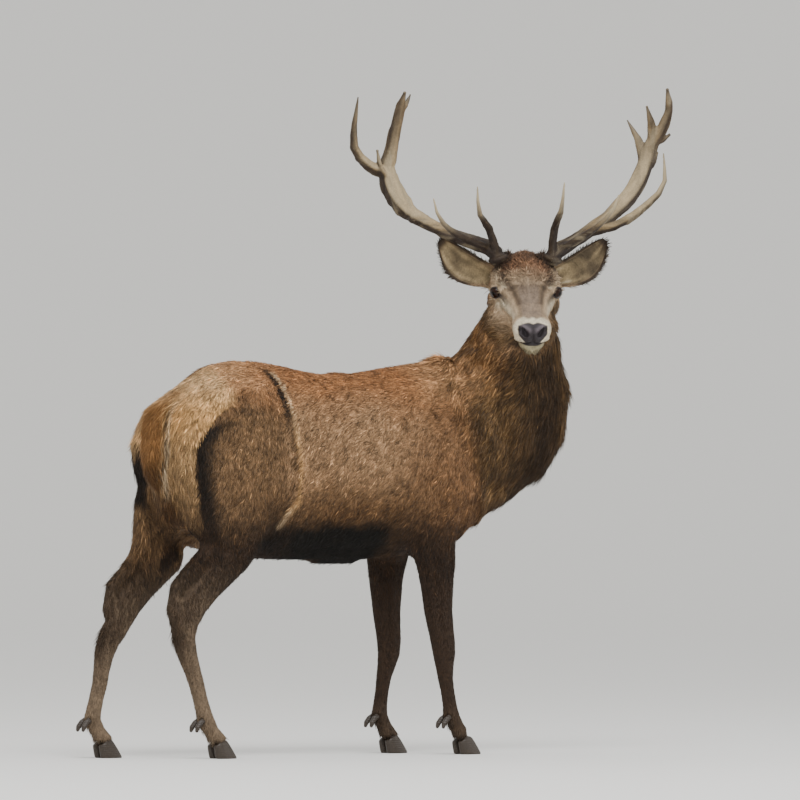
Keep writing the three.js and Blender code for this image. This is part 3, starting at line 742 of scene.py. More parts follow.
def trunk_colours(at, dyes):
    """Grey-tan flank, rust back, pale croup, browner thigh and shoulder; dark ribs and a black belly, both
    darkened further as painted shade under the body.
    """
    along, up, wobble = at.along, at.up, at.wobble
    rgb = np.tile(linear(dyes.flank), (len(at.co), 1))
    rgb = mixed(rgb, dyes.shoulder, ramp(along + 0.06 * wobble, 0.60, 0.84) * 0.9)
    rgb = mixed(rgb, dyes.haunch, ramp(0.40 - along + 0.03 * wobble, 0, 0.12) * ramp(up, 1.04, 0.74))
    rgb = mixed(rgb, dyes.back, ramp(up + 0.07 * wobble, 0.66, 0.96) * (1 - 0.5 * ramp(along, 0.72, 0.86)))
    rgb = mixed(rgb, dyes.croup, ramp(0.40 - along + 0.02 * wobble, 0, 0.26)
                * ramp(up + 0.08 * wobble, 0.78, 0.98))
    rgb = mixed(rgb, dyes.croup, 0.85 * ramp(along, 0.70, 0.84) * ramp(up + 0.08 * wobble, 0.74, 0.94))
    rgb = mixed(rgb, dyes.haunch, 0.5 * hump(along, 0.20, 0.08) * hump(up, 0.70, 0.07))
    # dark brown low on the ribs, deepened as painted shade under the body
    rgb = mixed(rgb, dyes.low_flank_and_shade, 0.85 * ramp(0.48 - up + 0.06 * wobble, 0.0, 0.22)
                * ramp(along, 0.12, 0.5) * (1 - 0.6 * ramp(along, 0.64, 0.80)))
    # the belly nearly black: dark hair with painted shade under the body
    rgb = mixed(rgb, dyes.under, ramp(0.25 - up + 0.04 * wobble, 0.0, 0.10) * ramp(along, 0.24, 0.34)
                * (1 - 0.75 * ramp(along, 0.62, 0.74)))
    return rgb * np.exp(0.24 * (noise(at.co, 0.013, 14) + noise(at.co, 0.007, 15)))[:, None]


def fold_colours(rgb, at, dyes):
    """The fold before the thigh: a painted shadow in the hollow behind a pale standing line of hair that is
    painted as a highlight.
    """
    flat = np.stack([at.along, at.up], 1)
    # painted shadow in the hollow behind the fold
    hollow = near_path(flat + [0.017, 0], CREASE) / 0.016
    on_side = ramp(np.abs(at.normals[:, 1]), 0.3, 0.6)
    rgb = mixed(rgb, dyes.stripe_and_shadow, hump(hollow, 0, 0.8) * on_side
                * (0.85 * ramp(at.up, 0.62, 0.84) + 0.35 + 0.3 * at.wobble))
    # painted highlight along the ridge of standing hair
    line = hump(near_path(flat, CREASE), 0, 0.0055 + 0.004 * ramp(0.36 - at.up, 0, 0.1))
    line = line * on_side * (0.75 + 0.3 * at.wobble)
    rgb = mixed(rgb, dyes.sand_and_highlight, line)
    return mixed(rgb, dyes.muzzle, 0.65 * line * (ramp(at.up, 0.5, 0.9) + ramp(0.3 - at.up, 0, 0.1)))


def rump_colours(rgb, at, dyes):
    """The pale patch round the tail with its black border and the rust tail; painted shade at the patch's
    foot and between the thighs under the tail, a painted shadow and a painted highlight beside the tail, and
    painted light on the far side's patch.
    """
    up, wobble = at.up, at.wobble
    left = at.side > 0
    ahead = at.along - np.interp(up, *RUMP_EDGE) + 0.006 * wobble + 0.040 * left
    hind = np.clip(sum(at.share[p] for p in ("trunk", "tail", "hindleg_right", "hindleg_left")), 0, 1)
    patch = ramp(-ahead / (0.006 + 0.05 * ramp(up, 0.70, 0.85)), -0.5, 0.6) * ramp(up, 0.02, 0.12) * hind
    rgb = mixed(rgb, dyes.rump, patch * ramp(1.06 - up, 0.0, 0.12))
    # on the far side the tan begins lower: painted light on the side in shade
    rgb = mixed(rgb, dyes.sand_and_highlight, 0.9 * patch * ramp(up, 0.46 + 0.08 * ~left, 0.72) * ramp(1.06 - up, 0, 0.1))
    rgb = mixed(rgb, dyes.muzzle, 0.25 * patch * ramp(up, 0.74, 0.92))
    # more cream on the far side: painted light on the side in shade
    rgb = mixed(rgb, dyes.muzzle, 0.12 * patch * left * ramp(up, 0.3, 0.5))
    # painted shade at the foot of the patch
    rgb = mixed(rgb, dyes.haunch, 0.7 * patch * ramp(0.50 - up, 0, 0.3))

    aside = np.abs(at.co[:, 1] - middle("tail")[1])
    rear = ramp(-at.normals[:, 0], 0.0, 0.4) * hind
    # painted shade between the thighs under the tail
    rgb = mixed(rgb, dyes.low_flank_and_shade, rear * ramp(0.095 - aside, 0, 0.05) * ramp(0.40 - up, 0, 0.12))
    wide = 0.016 + 0.036 * ramp(up, 0.40, 0.58)
    hung = np.maximum(rear * ramp(wide - aside, 0, 0.012), at.share["tail"]) * ramp(up, 0.36, 0.40)
    rgb = mixed(rgb, dyes.tail, hung * ramp(0.92 - up, 0, 0.16))
    rgb = mixed(rgb, dyes.low_flank_and_shade, 0.95 * hung * ramp(0.64 - up + 0.06 * wobble, 0, 0.12))
    # a painted shadow beside the tail, then a painted highlight on the pale hair beyond it
    for colour, weight, off, width, low, high in ((dyes.stripe_and_shadow, 0.75, 0.008, 0.006, 0.42, 0.50),
                                                  (dyes.muzzle, 0.4, 0.024, 0.012, 0.30, 0.40)):
        rgb = mixed(rgb, colour, weight * rear * hump(aside, wide + off, width) * ramp(up, low, high)
                    * ramp(0.84 - up, 0, 0.1))

    outer = np.where(left, ramp(aside, 0.085, 0.110), 1.0)
    begins = ramp(ahead, -0.004, 0.005)
    rgb = mixed(rgb, dyes.haunch, 0.7 * hind * (1 - outer) * begins * ramp(-ahead, -0.1, -0.08))
    rgb = mixed(rgb, dyes.stripe_and_shadow, 0.95 * hind * outer * begins * (1 - ramp(ahead, 0.018, 0.078))
                * ramp(up, -0.05, 0.08) * ramp(0.72 - up, 0.0, 0.06))
    speck = ramp(noise(at.co, 0.008, 18), -0.6, 0.9)
    return mixed(rgb, dyes.stripe_and_shadow, 0.75 * hind * speck * hump(ahead, 0.045, 0.040) * hump(up, 0.74, 0.10))


def neck_colours(rgb, at, dyes):
    """The grizzled mane in hanging folds, rust at its hind edge, darkest under the jaw."""
    neck, co = at.share["neck"], at.co
    x, z = co[:, 0] + 0.05 * at.wobble, co[:, 2]
    rgb = mixed(rgb, dyes.mane, neck * ramp(x, 0.20, 0.38) * 1.1)
    across = at.normals @ FORE_RIGHT
    rgb = mixed(rgb, dyes.back, 0.18 * neck * ramp(z + 0.05 * at.wobble, 1.10, 1.26)
                * ramp(0.45 - across, 0, 0.3))
    folds = noise(co * [1, 1, 0.16], 0.017, 12) + 0.7 * noise(co * [1, 1, 0.25], 0.045, 13)
    rgb = rgb * np.exp(0.46 * neck * folds - 0.05 * neck)[:, None]
    dark = np.maximum(ramp(x, 0.38, 0.56), 0.8 * ramp(0.86 - z, 0, 0.08))
    lit = 1 - 0.75 * ramp(across, 0.78, 0.97) * ramp(z, 0.95, 1.1)
    return mixed(rgb, dyes.throat, neck * ramp(1.44 - z, 0, 0.16) * lit * dark * 0.85)


def leg_colours(rgb, at, dyes):
    """Dark brown legs, greyer under hock and knee, with a painted sheen down the hind shins, painted light
    on the far thigh and painted shade in the groin.
    """
    co, share = at.co, at.share
    z = co[:, 2]
    legs = sum(share[p] for p in LIMBS)
    hinds = share["hindleg_right"] + share["hindleg_left"]
    rgb = mixed(rgb, dyes.leg, legs * ramp(0.86 - z + 0.03 * at.wobble, 0.0, 0.22))
    # painted light on the far hind thigh, which is in shade
    rgb = mixed(rgb, dyes.haunch, 0.75 * share["hindleg_left"] * hump(z, 0.68, 0.08) * (co[:, 1] > 0.18))
    rgb = mixed(rgb, dyes.shin, hinds * (1 - 0.7 * ramp(at.normals[:, 0], 0.0, 0.7) * ramp(z, 0.40, 0.5))
                * (0.22 * ramp(0.66 - z, 0, 0.12) + 0.65 * ramp(0.37 - z + 0.02 * at.wobble, 0, 0.20)))
    # a painted sheen: a grey highlight down the hind shins where they face fore-right, broken into streaks
    # along the hair
    facing = at.normals @ unit([0.35, -0.93, 0.1])
    hairs = noise(co * [1, 1, 0.15], 0.010, 19)
    rgb = mixed(rgb, dyes.shin, 0.55 * hinds * ramp(facing + 0.25 * hairs, 0.72, 1.1)
                * ramp(0.62 - z, 0, 0.2))
    # painted shade in the groin fold
    groin = (1 - ramp(np.abs(at.along - 0.30), 0.02, 0.10)) * ramp(0.20 - at.up + 0.03 * at.wobble, 0, 0.12)
    rgb = mixed(rgb, dyes.under, 0.85 * groin * ramp(z, 0.60, 0.68))
    return mixed(rgb, dyes.shin, (legs - hinds) * ramp(0.20 - z, 0, 0.14) * 0.18)


def nose_pad(ahead, aside, rise):
    """1 on the bare pad between the nostrils and down the middle of the upper lip to the mouth: inside
    a heart's outline that is wide at the nostrils, narrow below, with a notch at the top."""
    half = 0.026 * ramp(rise, -0.078, -0.040) ** 0.7 * ramp(-0.004 - rise, -0.004, 0.010) + 0.022
    top = -0.008 - 0.004 * np.exp(-(aside / 0.010) ** 2) - 0.012 * (aside / 0.045) ** 2
    pad = ramp(half - aside, -0.002, 0.003) * ramp(top - rise, -0.002, 0.002) * ramp(rise, -0.084, -0.080)
    gape = np.hypot(aside / 0.036, (rise + 0.079) / 0.010)
    return np.maximum(pad, ramp(1.0 - gape, -0.1, 0.2)) * (ahead > 0.21)


# Dark streaks down the face from the inner end of each brow: start, end, width and strength.
STREAKS = (((0.00, 0.074, 0.046), (0.05, 0.056, 0.034), 0.014, 0.98),
           ((0.05, 0.054, 0.034), (0.13, 0.034, 0.010), 0.011, 0.85),
           ((0.14, 0.036, 0.008), (0.19, 0.036, -0.004), 0.009, 0.35))


def face_colours(rgb, at, dyes):
    """The markings of the face, from places measured ahead, aside and up between the eyes."""
    co = at.co
    ahead, left, rise = to_head(co).T
    aside = np.abs(left)
    place = np.stack([ahead, aside, rise], 1)
    wobble = noise(co, 0.02, 3)
    eye = np.linalg.norm(np.stack([ahead, (aside - 0.096) * 0.8, rise], 1), axis=1)
    root = np.linalg.norm(place - BURR, axis=1)

    face = mixed(np.tile(linear(dyes.face), (len(co), 1)), dyes.mane,
                 ramp(-0.030 - rise - 0.45 * ahead + 0.01 * wobble, 0, 0.05) * ramp(0.15 - ahead, 0, 0.06))
    # forehead, poll and the hair round the burrs
    top = ramp(rise, 0.0, 0.03) * ramp(0.035 + 0.012 * wobble - ahead, 0, 0.05)
    face = mixed(face, dyes.streak, 0.35 * hump(ahead, 0.07, 0.03) * ramp(0.055 - aside, 0, 0.02)
                 * (rise > -0.01))
    face = mixed(face, dyes.forehead, top * ramp(0.085 - aside, 0, 0.02))
    curls = noise(co * [1, 1, 0.6], 0.0095, 16) + 0.6 * noise(co, 0.016, 17)
    top = top * ramp(0.09 - aside, 0, 0.02)
    face = mixed(face, dyes.rim, 0.85 * top * ramp(curls, 0.0, 1.3))
    face = mixed(face, dyes.croup, 0.6 * top * ramp(-curls, 0.3, 1.6))
    face = mixed(face, dyes.rim, 0.75 * ramp(rise + 0.02 * wobble, 0.084, 0.105)
                 * ramp(0.09 - aside, 0, 0.03))
    face = mixed(face, dyes.forehead, ramp(-0.03 - ahead, 0, 0.05) * 0.8)
    face = mixed(face, dyes.mane, 0.95 * ramp(-0.075 + 0.01 * wobble - ahead, 0, 0.045))
    face = mixed(face, dyes.streak, 0.45 * ramp(0.06 - aside, 0, 0.03) * hump(ahead, 0.045, 0.04)
                 * (rise > 0))
    # painted shade under the jaw and chin
    face = mixed(face, dyes.throat, 0.85 * ramp(0.050 + 0.02 * wobble - aside, 0, 0.025)
                 * ramp(-0.098 - rise, 0, 0.02) * ramp(0.165 - ahead, 0, 0.02))
    face = mixed(face, dyes.rim, 0.85 * ramp(0.062 + 0.01 * wobble - root, 0, 0.02))
    # round the eyes and down the bridge and cheeks
    face = mixed(face, dyes.pale, 0.7 * hump(eye, 0.032, 0.011) * ramp(0.02 - rise, -0.02, 0.02))
    face = mixed(face, dyes.muzzle, 0.55 * near(place, (-0.015, 0.092, 0.034), (0.028, 0.070, 0.028), 0.009))
    face = mixed(face, dyes.muzzle, 0.5 * near(place, (0.0, 0.100, -0.030), (0.040, 0.086, -0.034), 0.010))
    mid = ramp(0.040 + 0.010 * ramp(0.06 - ahead, 0, 0.05) - aside, 0, 0.014) * ramp(ahead, 0.03, 0.07)
    face = mixed(face, dyes.bridge, (0.75 + 0.2 * wobble) * mid * (rise > -0.03))
    for start, end, width, strength in STREAKS:
        face = mixed(face, dyes.streak, strength * near(place, start, end, width))
    face = mixed(face, dyes.muzzle, 0.8 * near(place, (0.05, 0.080, -0.02), (0.17, 0.056, -0.03), 0.020))
    off, t = line_distance(place, (0.03, 0.078, -0.004), (0.075, 0.062, -0.010))
    face = mixed(face, dyes.streak, 0.95 * hump(off, 0, 0.012) * (1 - 0.4 * t))
    # muzzle, lips, nose and lids
    face = mixed(face, dyes.muzzle, ramp(ahead + 0.004 * wobble - 0.012 * ramp(0.030 - aside, 0, 0.02),
                                         0.203, 0.218))
    front = ramp(ahead, 0.15, 0.2)
    # a dark line where the lips meet: dark lips with painted shade between them
    face = mixed(face, dyes.streak, hump(rise, -0.082, 0.006) * front)
    face = mixed(face, dyes.chin, ramp(-0.082 - rise, 0, 0.006) * front)
    pad = nose_pad(ahead, aside, rise)
    face = mixed(face, dyes.nose, pad)
    # painted highlight on the wet ridges of the nose
    face = mixed(face, dyes.damp, 0.8 * pad
                 * near(place, (0.257, 0.012, -0.030), (0.247, 0.036, -0.016), 0.008))
    other = 9.0  # puts the other side's lid out of reach
    lid = np.minimum(lid_place(to_head(co), 1)[1] + other * (left < 0),
                     lid_place(to_head(co), -1)[1] + other * (left > 0))
    face = mixed(face, dyes.nose, 0.95 * ramp(1.22 - lid, 0, 0.12) * (eye < 0.034))
    return rgb + np.clip(at.share["head"] * 1.3 - 0.15, 0, 1)[:, None] * (face - rgb)


def ear_colours(rgb, co, on_ear, dyes):
    """Pale streaky hair in the hollow of each ear, dark rim and tip, brown back."""
    edge, reach = on_ear["edge"], on_ear["reach"]
    ear = np.tile(linear(dyes.face), (len(co), 1))
    ear = mixed(ear, dyes.mane, 0.45 + 0.3 * reach)
    across = np.stack([edge * 0.12, reach * 0.05, on_ear["side"]], 1)
    wobble = 0.5 * noise(co, 0.03, 4) + 1.0 * noise(across, 0.030, 9)
    ear = ear * np.exp(0.25 * noise(across, 0.010, 10))[:, None]
    inner = on_ear["inner"] * ramp(0.74 + 0.08 * wobble - edge, 0, 0.14)
    ear = mixed(ear, dyes.ear, inner * ramp(0.95 - reach, 0, 0.1))
    ear = mixed(ear, dyes.rim, inner * ramp(wobble + 0.2, 0.0, 1.2) * 0.85)
    ear = mixed(ear, dyes.muzzle, inner * ramp(-wobble, 0.2, 1.0) * 0.6)
    rim = ramp(edge, 0.70, 0.84) * ramp(reach, 0.08, 0.3)
    ear = mixed(ear, dyes.rim, np.maximum(rim, ramp(reach, 0.86, 0.97)) * 0.9)
    return np.where(on_ear["side"][:, None] != 0, ear, rgb)


def bare_skin(co, shares):
    """1 on the damp bare skin of nose, lips and lids, 0 where hair grows."""
    ahead, left, rise = to_head(co).T
    bare = nose_pad(ahead, np.abs(left), rise)
    for side in (-1, 1):
        reach, out, _ = lid_place(to_head(co), side)
        bare = np.maximum(bare, ramp(1.16 - out, 0, 0.06) * (reach < 0.03))
    return bare * (shares[:, PARTS.index("head")] > 0.5)


# ---------------------------------------------------------------- materials

def add(tree, kind, settings=None, **links):
    """Adds a node to a tree. settings go on its properties, or on its sockets when they are inputs;
    links join an input, by name with _ for spaces, to another node's output."""
    node = tree.nodes.new("ShaderNode" + kind)
    for key, value in (settings or {}).items():
        if isinstance(key, int) or key in node.inputs:
            node.inputs[key].default_value = value
        else:
            setattr(node, key, value)
    for key, source in links.items():
        place = int(key[1:]) if key[0] == "i" and key[1:].isdigit() else key.replace("_", " ")
        tree.links.new(source, node.inputs[place])
    return node


def fresh(name):
    """A new material with no nodes, and its node tree."""
    made = bpy.data.materials.new(name)
    made.use_nodes = True
    made.node_tree.nodes.clear()
    return made, made.node_tree


def short_deer_hair():
    """Short winter hair lying flat on hide: hollow guard hairs, dull, with a faint sheen along the
    body. Each hair is about 0.1 mm; it is drawn 1.2 mm wide so that the grain shows. Where the hide is
    bare, on the nose pad and the lids, it is damp and pebbled, each pebble about 1 mm."""
    made, tree = fresh("short deer hair on hide")
    where = add(tree, "TexCoord").outputs["Object"]
    dye_at = add(tree, "Attribute", {"attribute_name": "dye"}).outputs["Color"]
    long_way = add(tree, "Mapping", {"Scale": (90, 500, 160)}, Vector=where).outputs["Vector"]
    grain = add(tree, "TexNoise", {"Scale": 1.0, "Detail": 3.0, "Roughness": 0.6}, Vector=long_way)
    clumps = add(tree, "TexNoise", {"Scale": 45.0, "Detail": 3.0, "Distortion": 0.6}, Vector=where)
    tone = add(tree, "Math", {"operation": "ADD"}, i0=grain.outputs["Fac"], i1=clumps.outputs["Fac"])
    shade = add(tree, "MapRange", {"From Min": 0.7, "From Max": 1.35, "To Min": 0.62, "To Max": 1.35},
                Value=tone.outputs[0])
    bare = add(tree, "Attribute", {"attribute_name": "bare"}).outputs["Fac"]
    pebble = add(tree, "TexVoronoi", {"Scale": 620.0}, Vector=where)
    even = add(tree, "Mix", {3: 1.0}, i0=bare, i2=shade.outputs[0])
    height = add(tree, "Mix", i0=bare, i2=tone.outputs[0], i3=pebble.outputs["Distance"])
    colour = add(tree, "VectorMath", {"operation": "SCALE"}, i0=dye_at, Scale=even.outputs[0])
    deep = add(tree, "MapRange", {"To Min": 0.003, "To Max": 0.0012}, Value=bare)
    bump = add(tree, "Bump", {"Strength": 0.55}, Height=height.outputs[0], Distance=deep.outputs[0])
    rough = add(tree, "MapRange", {"To Min": 0.72, "To Max": 0.36}, Value=bare)
    shader = add(tree, "BsdfPrincipled", {"Specular IOR Level": 0.3}, Base_Color=colour.outputs[0],
                 Roughness=rough.outputs[0], Normal=bump.outputs[0])
    add(tree, "OutputMaterial", Surface=shader.outputs[0])
    return made


def tuft_hair():
    """Guard hairs in a tuft: dull, drawn as one surface."""
    made, tree = fresh("deer guard hair")
    dye_at = add(tree, "Attribute", {"attribute_name": "dye"}).outputs["Color"]
    shader = add(tree, "BsdfPrincipled", {"Roughness": 0.62, "Specular IOR Level": 0.3}, Base_Color=dye_at)
    add(tree, "OutputMaterial", Surface=shader.outputs[0])
    return made


def wet_eye():
    """A living eye: dark brown iris under a clear wet cornea. The pupil is a level oval."""
    made, tree = fresh("wet brown eye")
    tone = add(tree, "Attribute", {"attribute_name": "dye"}).outputs["Color"]
    shader = add(tree, "BsdfPrincipled", {"Roughness": 0.12, "Specular IOR Level": 0.14, "Coat Weight": 0.08,
                                          "Coat Roughness": 0.03}, Base_Color=tone)
    add(tree, "OutputMaterial", Surface=shader.outputs[0])
    return made


# ---------------------------------------------------------------- the coat

class StagCoat(bpy.types.PropertyGroup):
    """How many tufts there are and how long they are"""
    under: count("Fine body tufts", "Short tufts on trunk, shoulder and thigh", 120000)
    over: count("Long body tufts", "Longer tufts that break the form of the body", 11000)
    body_length: length("Body hair", "Length of the body's tufts", 0.019, 0.2)
    mane: count("Mane locks", "Locks on the neck", 40000)
    mane_length: length("Mane", "Length of the mane's locks", 0.058, 0.3)
    legs: count("Leg tufts", "Tufts on the legs", 22000)
    leg_length: length("Leg hair", "Length of the legs' tufts", 0.015, 0.1)
    face: count("Face tufts", "Short tufts on the face", 34000)
    crown: count("Crown tufts", "Longer tufts on forehead, cheeks and jaw", 12000)
    face_length: length("Face hair", "Length of the face's tufts", 0.008, 0.1)
    ears: count("Ear tufts", "Tufts in and on the ears", 7000)
    tail: count("Tail tufts", "Tufts on the tail", 4500)
    tail_length: length("Tail hair", "Length of the tail's tufts", 0.055, 0.2)


def sown(skin, chance, number, rng):
    """Roots scattered over the skin, as many to a square metre as chance says: evenly spaced steps along
    the running total of area times chance, then a random place in each triangle."""
    face = np.cross(skin["co"][skin["tri"][:, 1]] - skin["co"][skin["tri"][:, 0]],
                    skin["co"][skin["tri"][:, 2]] - skin["co"][skin["tri"][:, 0]])
    weight = np.cumsum(np.linalg.norm(face, axis=1) * chance[skin["tri"]].mean(1))
    steps = (np.arange(number) + rng.uniform(0, 1, number)) / number * weight[-1]
    pick = skin["tri"][np.minimum(np.searchsorted(weight, steps), len(weight) - 1)]
    a, b = rng.uniform(0, 1, (2, number))
    a = np.sqrt(a)
    shares = np.stack([1 - a, a * (1 - b), a * b], 1)[:, :, None]
    return {key: (skin[key][pick] * shares).sum(1) for key in ("co", "normal", "shares", "ear", "bare")}


def lie_of(co, normals, shares, ear):
    """Which way the hair lies: from the head to the tail and down over the body, down the legs, neck
    and tail, and from the nose to the crown on the face, laid flat on the skin."""
    share = dict(zip(PARTS, shares.T))
    along, up = ((co - BOX["trunk"][0]) / np.ptp(BOX["trunk"], 0)).T[[0, 2]]
    back = np.array([-1.0, 0, 0])
    drop = 0.40 + 0.8 * ramp(0.92 - up, 0, 0.5) + 1.6 * ramp(0.34 - along, 0, 0.08) * ramp(1.0 - up, 0, 0.2)
    rear = ramp(0.10 - along, 0, 0.08)
    trunk = back * (1 - 0.85 * rear)[:, None] - UP * (drop + rear)[:, None]
    fore = ramp(along, 0.78, 0.95) * ramp(0.8 - up, 0, 0.4)
    trunk = trunk - UP * (1.3 * fore)[:, None]
    ahead, left, rise = to_head(co).T
    face = (-HEAD_AHEAD - HEAD_UP * (0.9 * ramp(-0.01 - rise, 0, 0.04))[:, None]
            + HEAD_LEFT * (0.35 * np.sign(left) * ramp(ahead, -0.1, 0.0))[:, None]
            - UP * (1.6 * ramp(-0.01 - rise, 0, 0.03) * ramp(0.07 - ahead, 0, 0.05))[:, None])
    neck = back * 0.45 - UP + HEAD_LEFT * (0.5 * np.sign(left) * ramp(0.9 * rise + 0.5, 0, 0.4))[:, None]
    way = (share["trunk"][:, None] * trunk + share["neck"][:, None] * neck * 1.2
           + share["head"][:, None] * face - UP * (share["tail"] * 1.5)[:, None])
    legs = sum(share[p] for p in LIMBS)
    low = ramp(0.80 - co[:, 2], 0, 0.2)
    way = way + legs[:, None] * ((1 - low)[:, None] * trunk - (low * 1.2)[:, None] * UP)
    side = ear[:, SIDE, None]
    to_tip = (EAR_ALONG * [1, 0, 1]) @ HEAD_AXES + side * ((EAR_ALONG * [0, 1, 0]) @ HEAD_AXES)
    way = np.where(side != 0, to_tip, way)
    return unit(way - (way * normals).sum(1)[:, None] * normals)


def turned(way, normals, angle):
    """Directions turned about the skin's normal: way cos a + (normal x way) sin a."""
    return way * np.cos(angle)[:, None] + np.cross(normals, way) * np.sin(angle)[:, None]


def chart(roots, parts):
    """Each root's place on an unwrap of the skin: one strip of the square for each part, across it the
    angle round the part's own axis and up it the place along that axis."""
    whose = roots["shares"][:, [PARTS.index(p) for p in parts]].argmax(1)
    place = np.zeros((len(whose), 2))
    for number, part in enumerate(parts):
        mine = whose == number
        if not mine.any():
            continue
        co, normal = roots["co"][mine], roots["normal"][mine]
        if part == "trunk":
            v, a, b = co[:, 0], co[:, 1] - middle(part)[1], co[:, 2] - middle(part)[2]
        elif part == "head":
            v, a, b = to_head(co).T
        elif part == "neck":
            v, a, b = co[:, 2], co[:, 0] - middle(part)[0] - 0.3 * (co[:, 2] - middle(part)[2]), \
                co[:, 1] - middle(part)[1]
        else:
            v, a, b = co[:, 2], normal[:, 0], normal[:, 1]
        u = np.arctan2(b, a) / (2 * np.pi) + 0.5
        v = (v - v.min()) / max(np.ptp(v), 1e-6)
        place[mine] = np.stack([(number + 0.03 + 0.94 * u) / len(parts), 0.02 + 0.96 * v], 1)
    return place


def tuft_mesh(roots, rings):
    """Closed, thin, tapering tufts. Each runs from just under the skin along its way: at a share t of
    its length it stands off the skin by lift (2t - t^2) and sways aside by sway t^2. Every ring is a
    flat triangle, two edges and a low crown, width (1 - t) (0.7 + 1.9 t) across; the last is a point."""
    co, normal, way = roots["co"], roots["normal"], roots["way"]
    side = np.cross(normal, way)
    size, width, lift, sway = [roots[key][:, None, None] for key in ("size", "width", "lift", "sway")]
    t = np.linspace(0, 1, rings + 1)[:-1]
    step = np.append(t, 1.0)[None, :, None]
    line = (co[:, None] + way[:, None] * (size * step) + side[:, None] * (sway * step ** 2)
            + normal[:, None] * (lift * (2 * step - step ** 2) - 0.0010 * (1 - step)))
    across = width * ((1 - t) * ((0.7 if rings > 1 else 1.0) + 1.9 * t))[None, :, None] / 2
    rows = line[:, :-1]
    edges = [rows - side[:, None] * across, rows + side[:, None] * across,
             rows + normal[:, None] * across * 0.5]
    places = np.concatenate([np.stack(edges, 2).reshape(len(co), -1, 3), line[:, -1:]], 1)
    faces = [(0, 1, 2)]
    for k in range(rings - 1):
        for j in range(3):
            a, b = 3 * k + j, 3 * k + (j + 1) % 3
            faces += [(a, a + 3, b), (b, a + 3, b + 3)]
    last = 3 * (rings - 1)
    faces += [(last + j, 3 * rings, last + (j + 1) % 3) for j in range(3)]
    faces = np.array(faces)[None] + (np.arange(len(co)) * (3 * rings + 1))[:, None, None]
    share = np.append(np.repeat(t, 3), 1.0)
    spread = np.append(np.tile([-0.5, 0.5, 0.0], rings), 0.0)
    return places.reshape(-1, 3), faces.reshape(-1, 3), share, spread


def skin_arrays():
    """The finished skin as arrays, for the coat to root in."""
    mesh = bpy.data.objects["skin"].data
    co, tri = corners(mesh)

    def kept(name):
        """One value to a vertex, from the attribute of this name."""
        values = np.empty(len(co), np.float32)
        mesh.attributes[name].data.foreach_get("value", values)
        return values

    return {"co": co, "tri": tri, "normal": normals_of(co, tri),
            "shares": np.stack([kept("part_" + p) for p in PARTS], 1),
            "ear": np.stack([kept("ear_" + key) for key in EAR_KEYS], 1),
            "bare": kept("bare")[:, None]}


def coloured(roots, dyes, rng, spread):
    """Adds to the roots their colour, and a tone of their own: random tuft by tuft and clump by clump."""
    roots["normal"] = unit(roots["normal"])
    roots["dye"] = coat_colours(roots["co"], roots["normal"], roots["shares"], dyes)
    if np.any(roots["ear"][:, SIDE]):
        on_ear = dict(zip(EAR_KEYS, roots["ear"].T))
        roots["dye"] = ear_colours(roots["dye"], roots["co"], on_ear, dyes)
    clump = 0.7 * noise(roots["co"], 0.022, 5) + 1.3 * noise(roots["co"], 0.008, 6)
    roots["tone"] = np.exp(spread * (0.7 * rng.normal(0, 1, len(roots["co"])) + clump) - 0.5 * spread ** 2)
    return roots


def laid(roots, rng, angle, size, width, lift, sway):
    """Adds to the roots each tuft's way, length, width, lift and sway. angle is how far the ways wander,
    in radians, half in swirls a hand wide and half at random; lift and sway are shares of the length."""
    number = len(roots["co"])
    way = lie_of(roots["co"], roots["normal"], roots["shares"], roots["ear"])
    wander = angle * (noise(roots["co"], 0.05, 7) + 0.6 * rng.normal(0, 1, number))
    roots["way"] = turned(way, roots["normal"], wander)
    roots["size"] = size * rng.uniform(0.65, 1.25, number)
    roots["width"] = width * rng.uniform(0.7, 1.3, number)
    roots["lift"] = roots["size"] * lift * rng.uniform(0.3, 1.3, number)
    roots["sway"] = roots["size"] * sway * (noise(roots["co"], 0.03, 8) + 0.5 * rng.normal(0, 1, number))
    return roots


def coat_pieces(name, roots, rings, tones, parts, bands=1):
    """Coat in as many pieces as bands, each with its colours, its finish and its OFBake map. tones are
    how dark the hair is at its root and how light at its tip."""
    order = np.argsort(roots["co"][:, 0])
    for number, part in enumerate(np.array_split(order, bands)):
        band = {key: values[part] for key, values in roots.items()}
        co, faces, share, spread = tuft_mesh(band, rings)
        piece = new_piece(name + (f"_{number + 1}" if bands > 1 else ""), co, faces)
        mesh = piece.data
        shade = tones[0] + (tones[1] - tones[0]) * share ** 0.8
        dye = band["dye"][:, None] * shade[None, :, None] * band["tone"][:, None, None]
        keep_values(mesh, "dye", dye.reshape(-1, 3))
        place = chart(band, parts)[:, None] + 0.003 * np.stack([spread, share - 0.5], 1)[None]
        corner = np.empty(len(mesh.loops), np.int32)
        mesh.loops.foreach_get("vertex_index", corner)
        layer = mesh.uv_layers.new(name="OFBake")
        layer.data.foreach_set("uv", place.reshape(-1, 2)[corner].astype(np.float32).ravel())
        mesh.materials.append(bpy.data.materials.get("deer guard hair") or tuft_hair())


def share_of(places, *parts):
    """How far each place of the skin or each root belongs to these parts."""
    return sum(places["shares"][:, PARTS.index(p)] for p in parts)


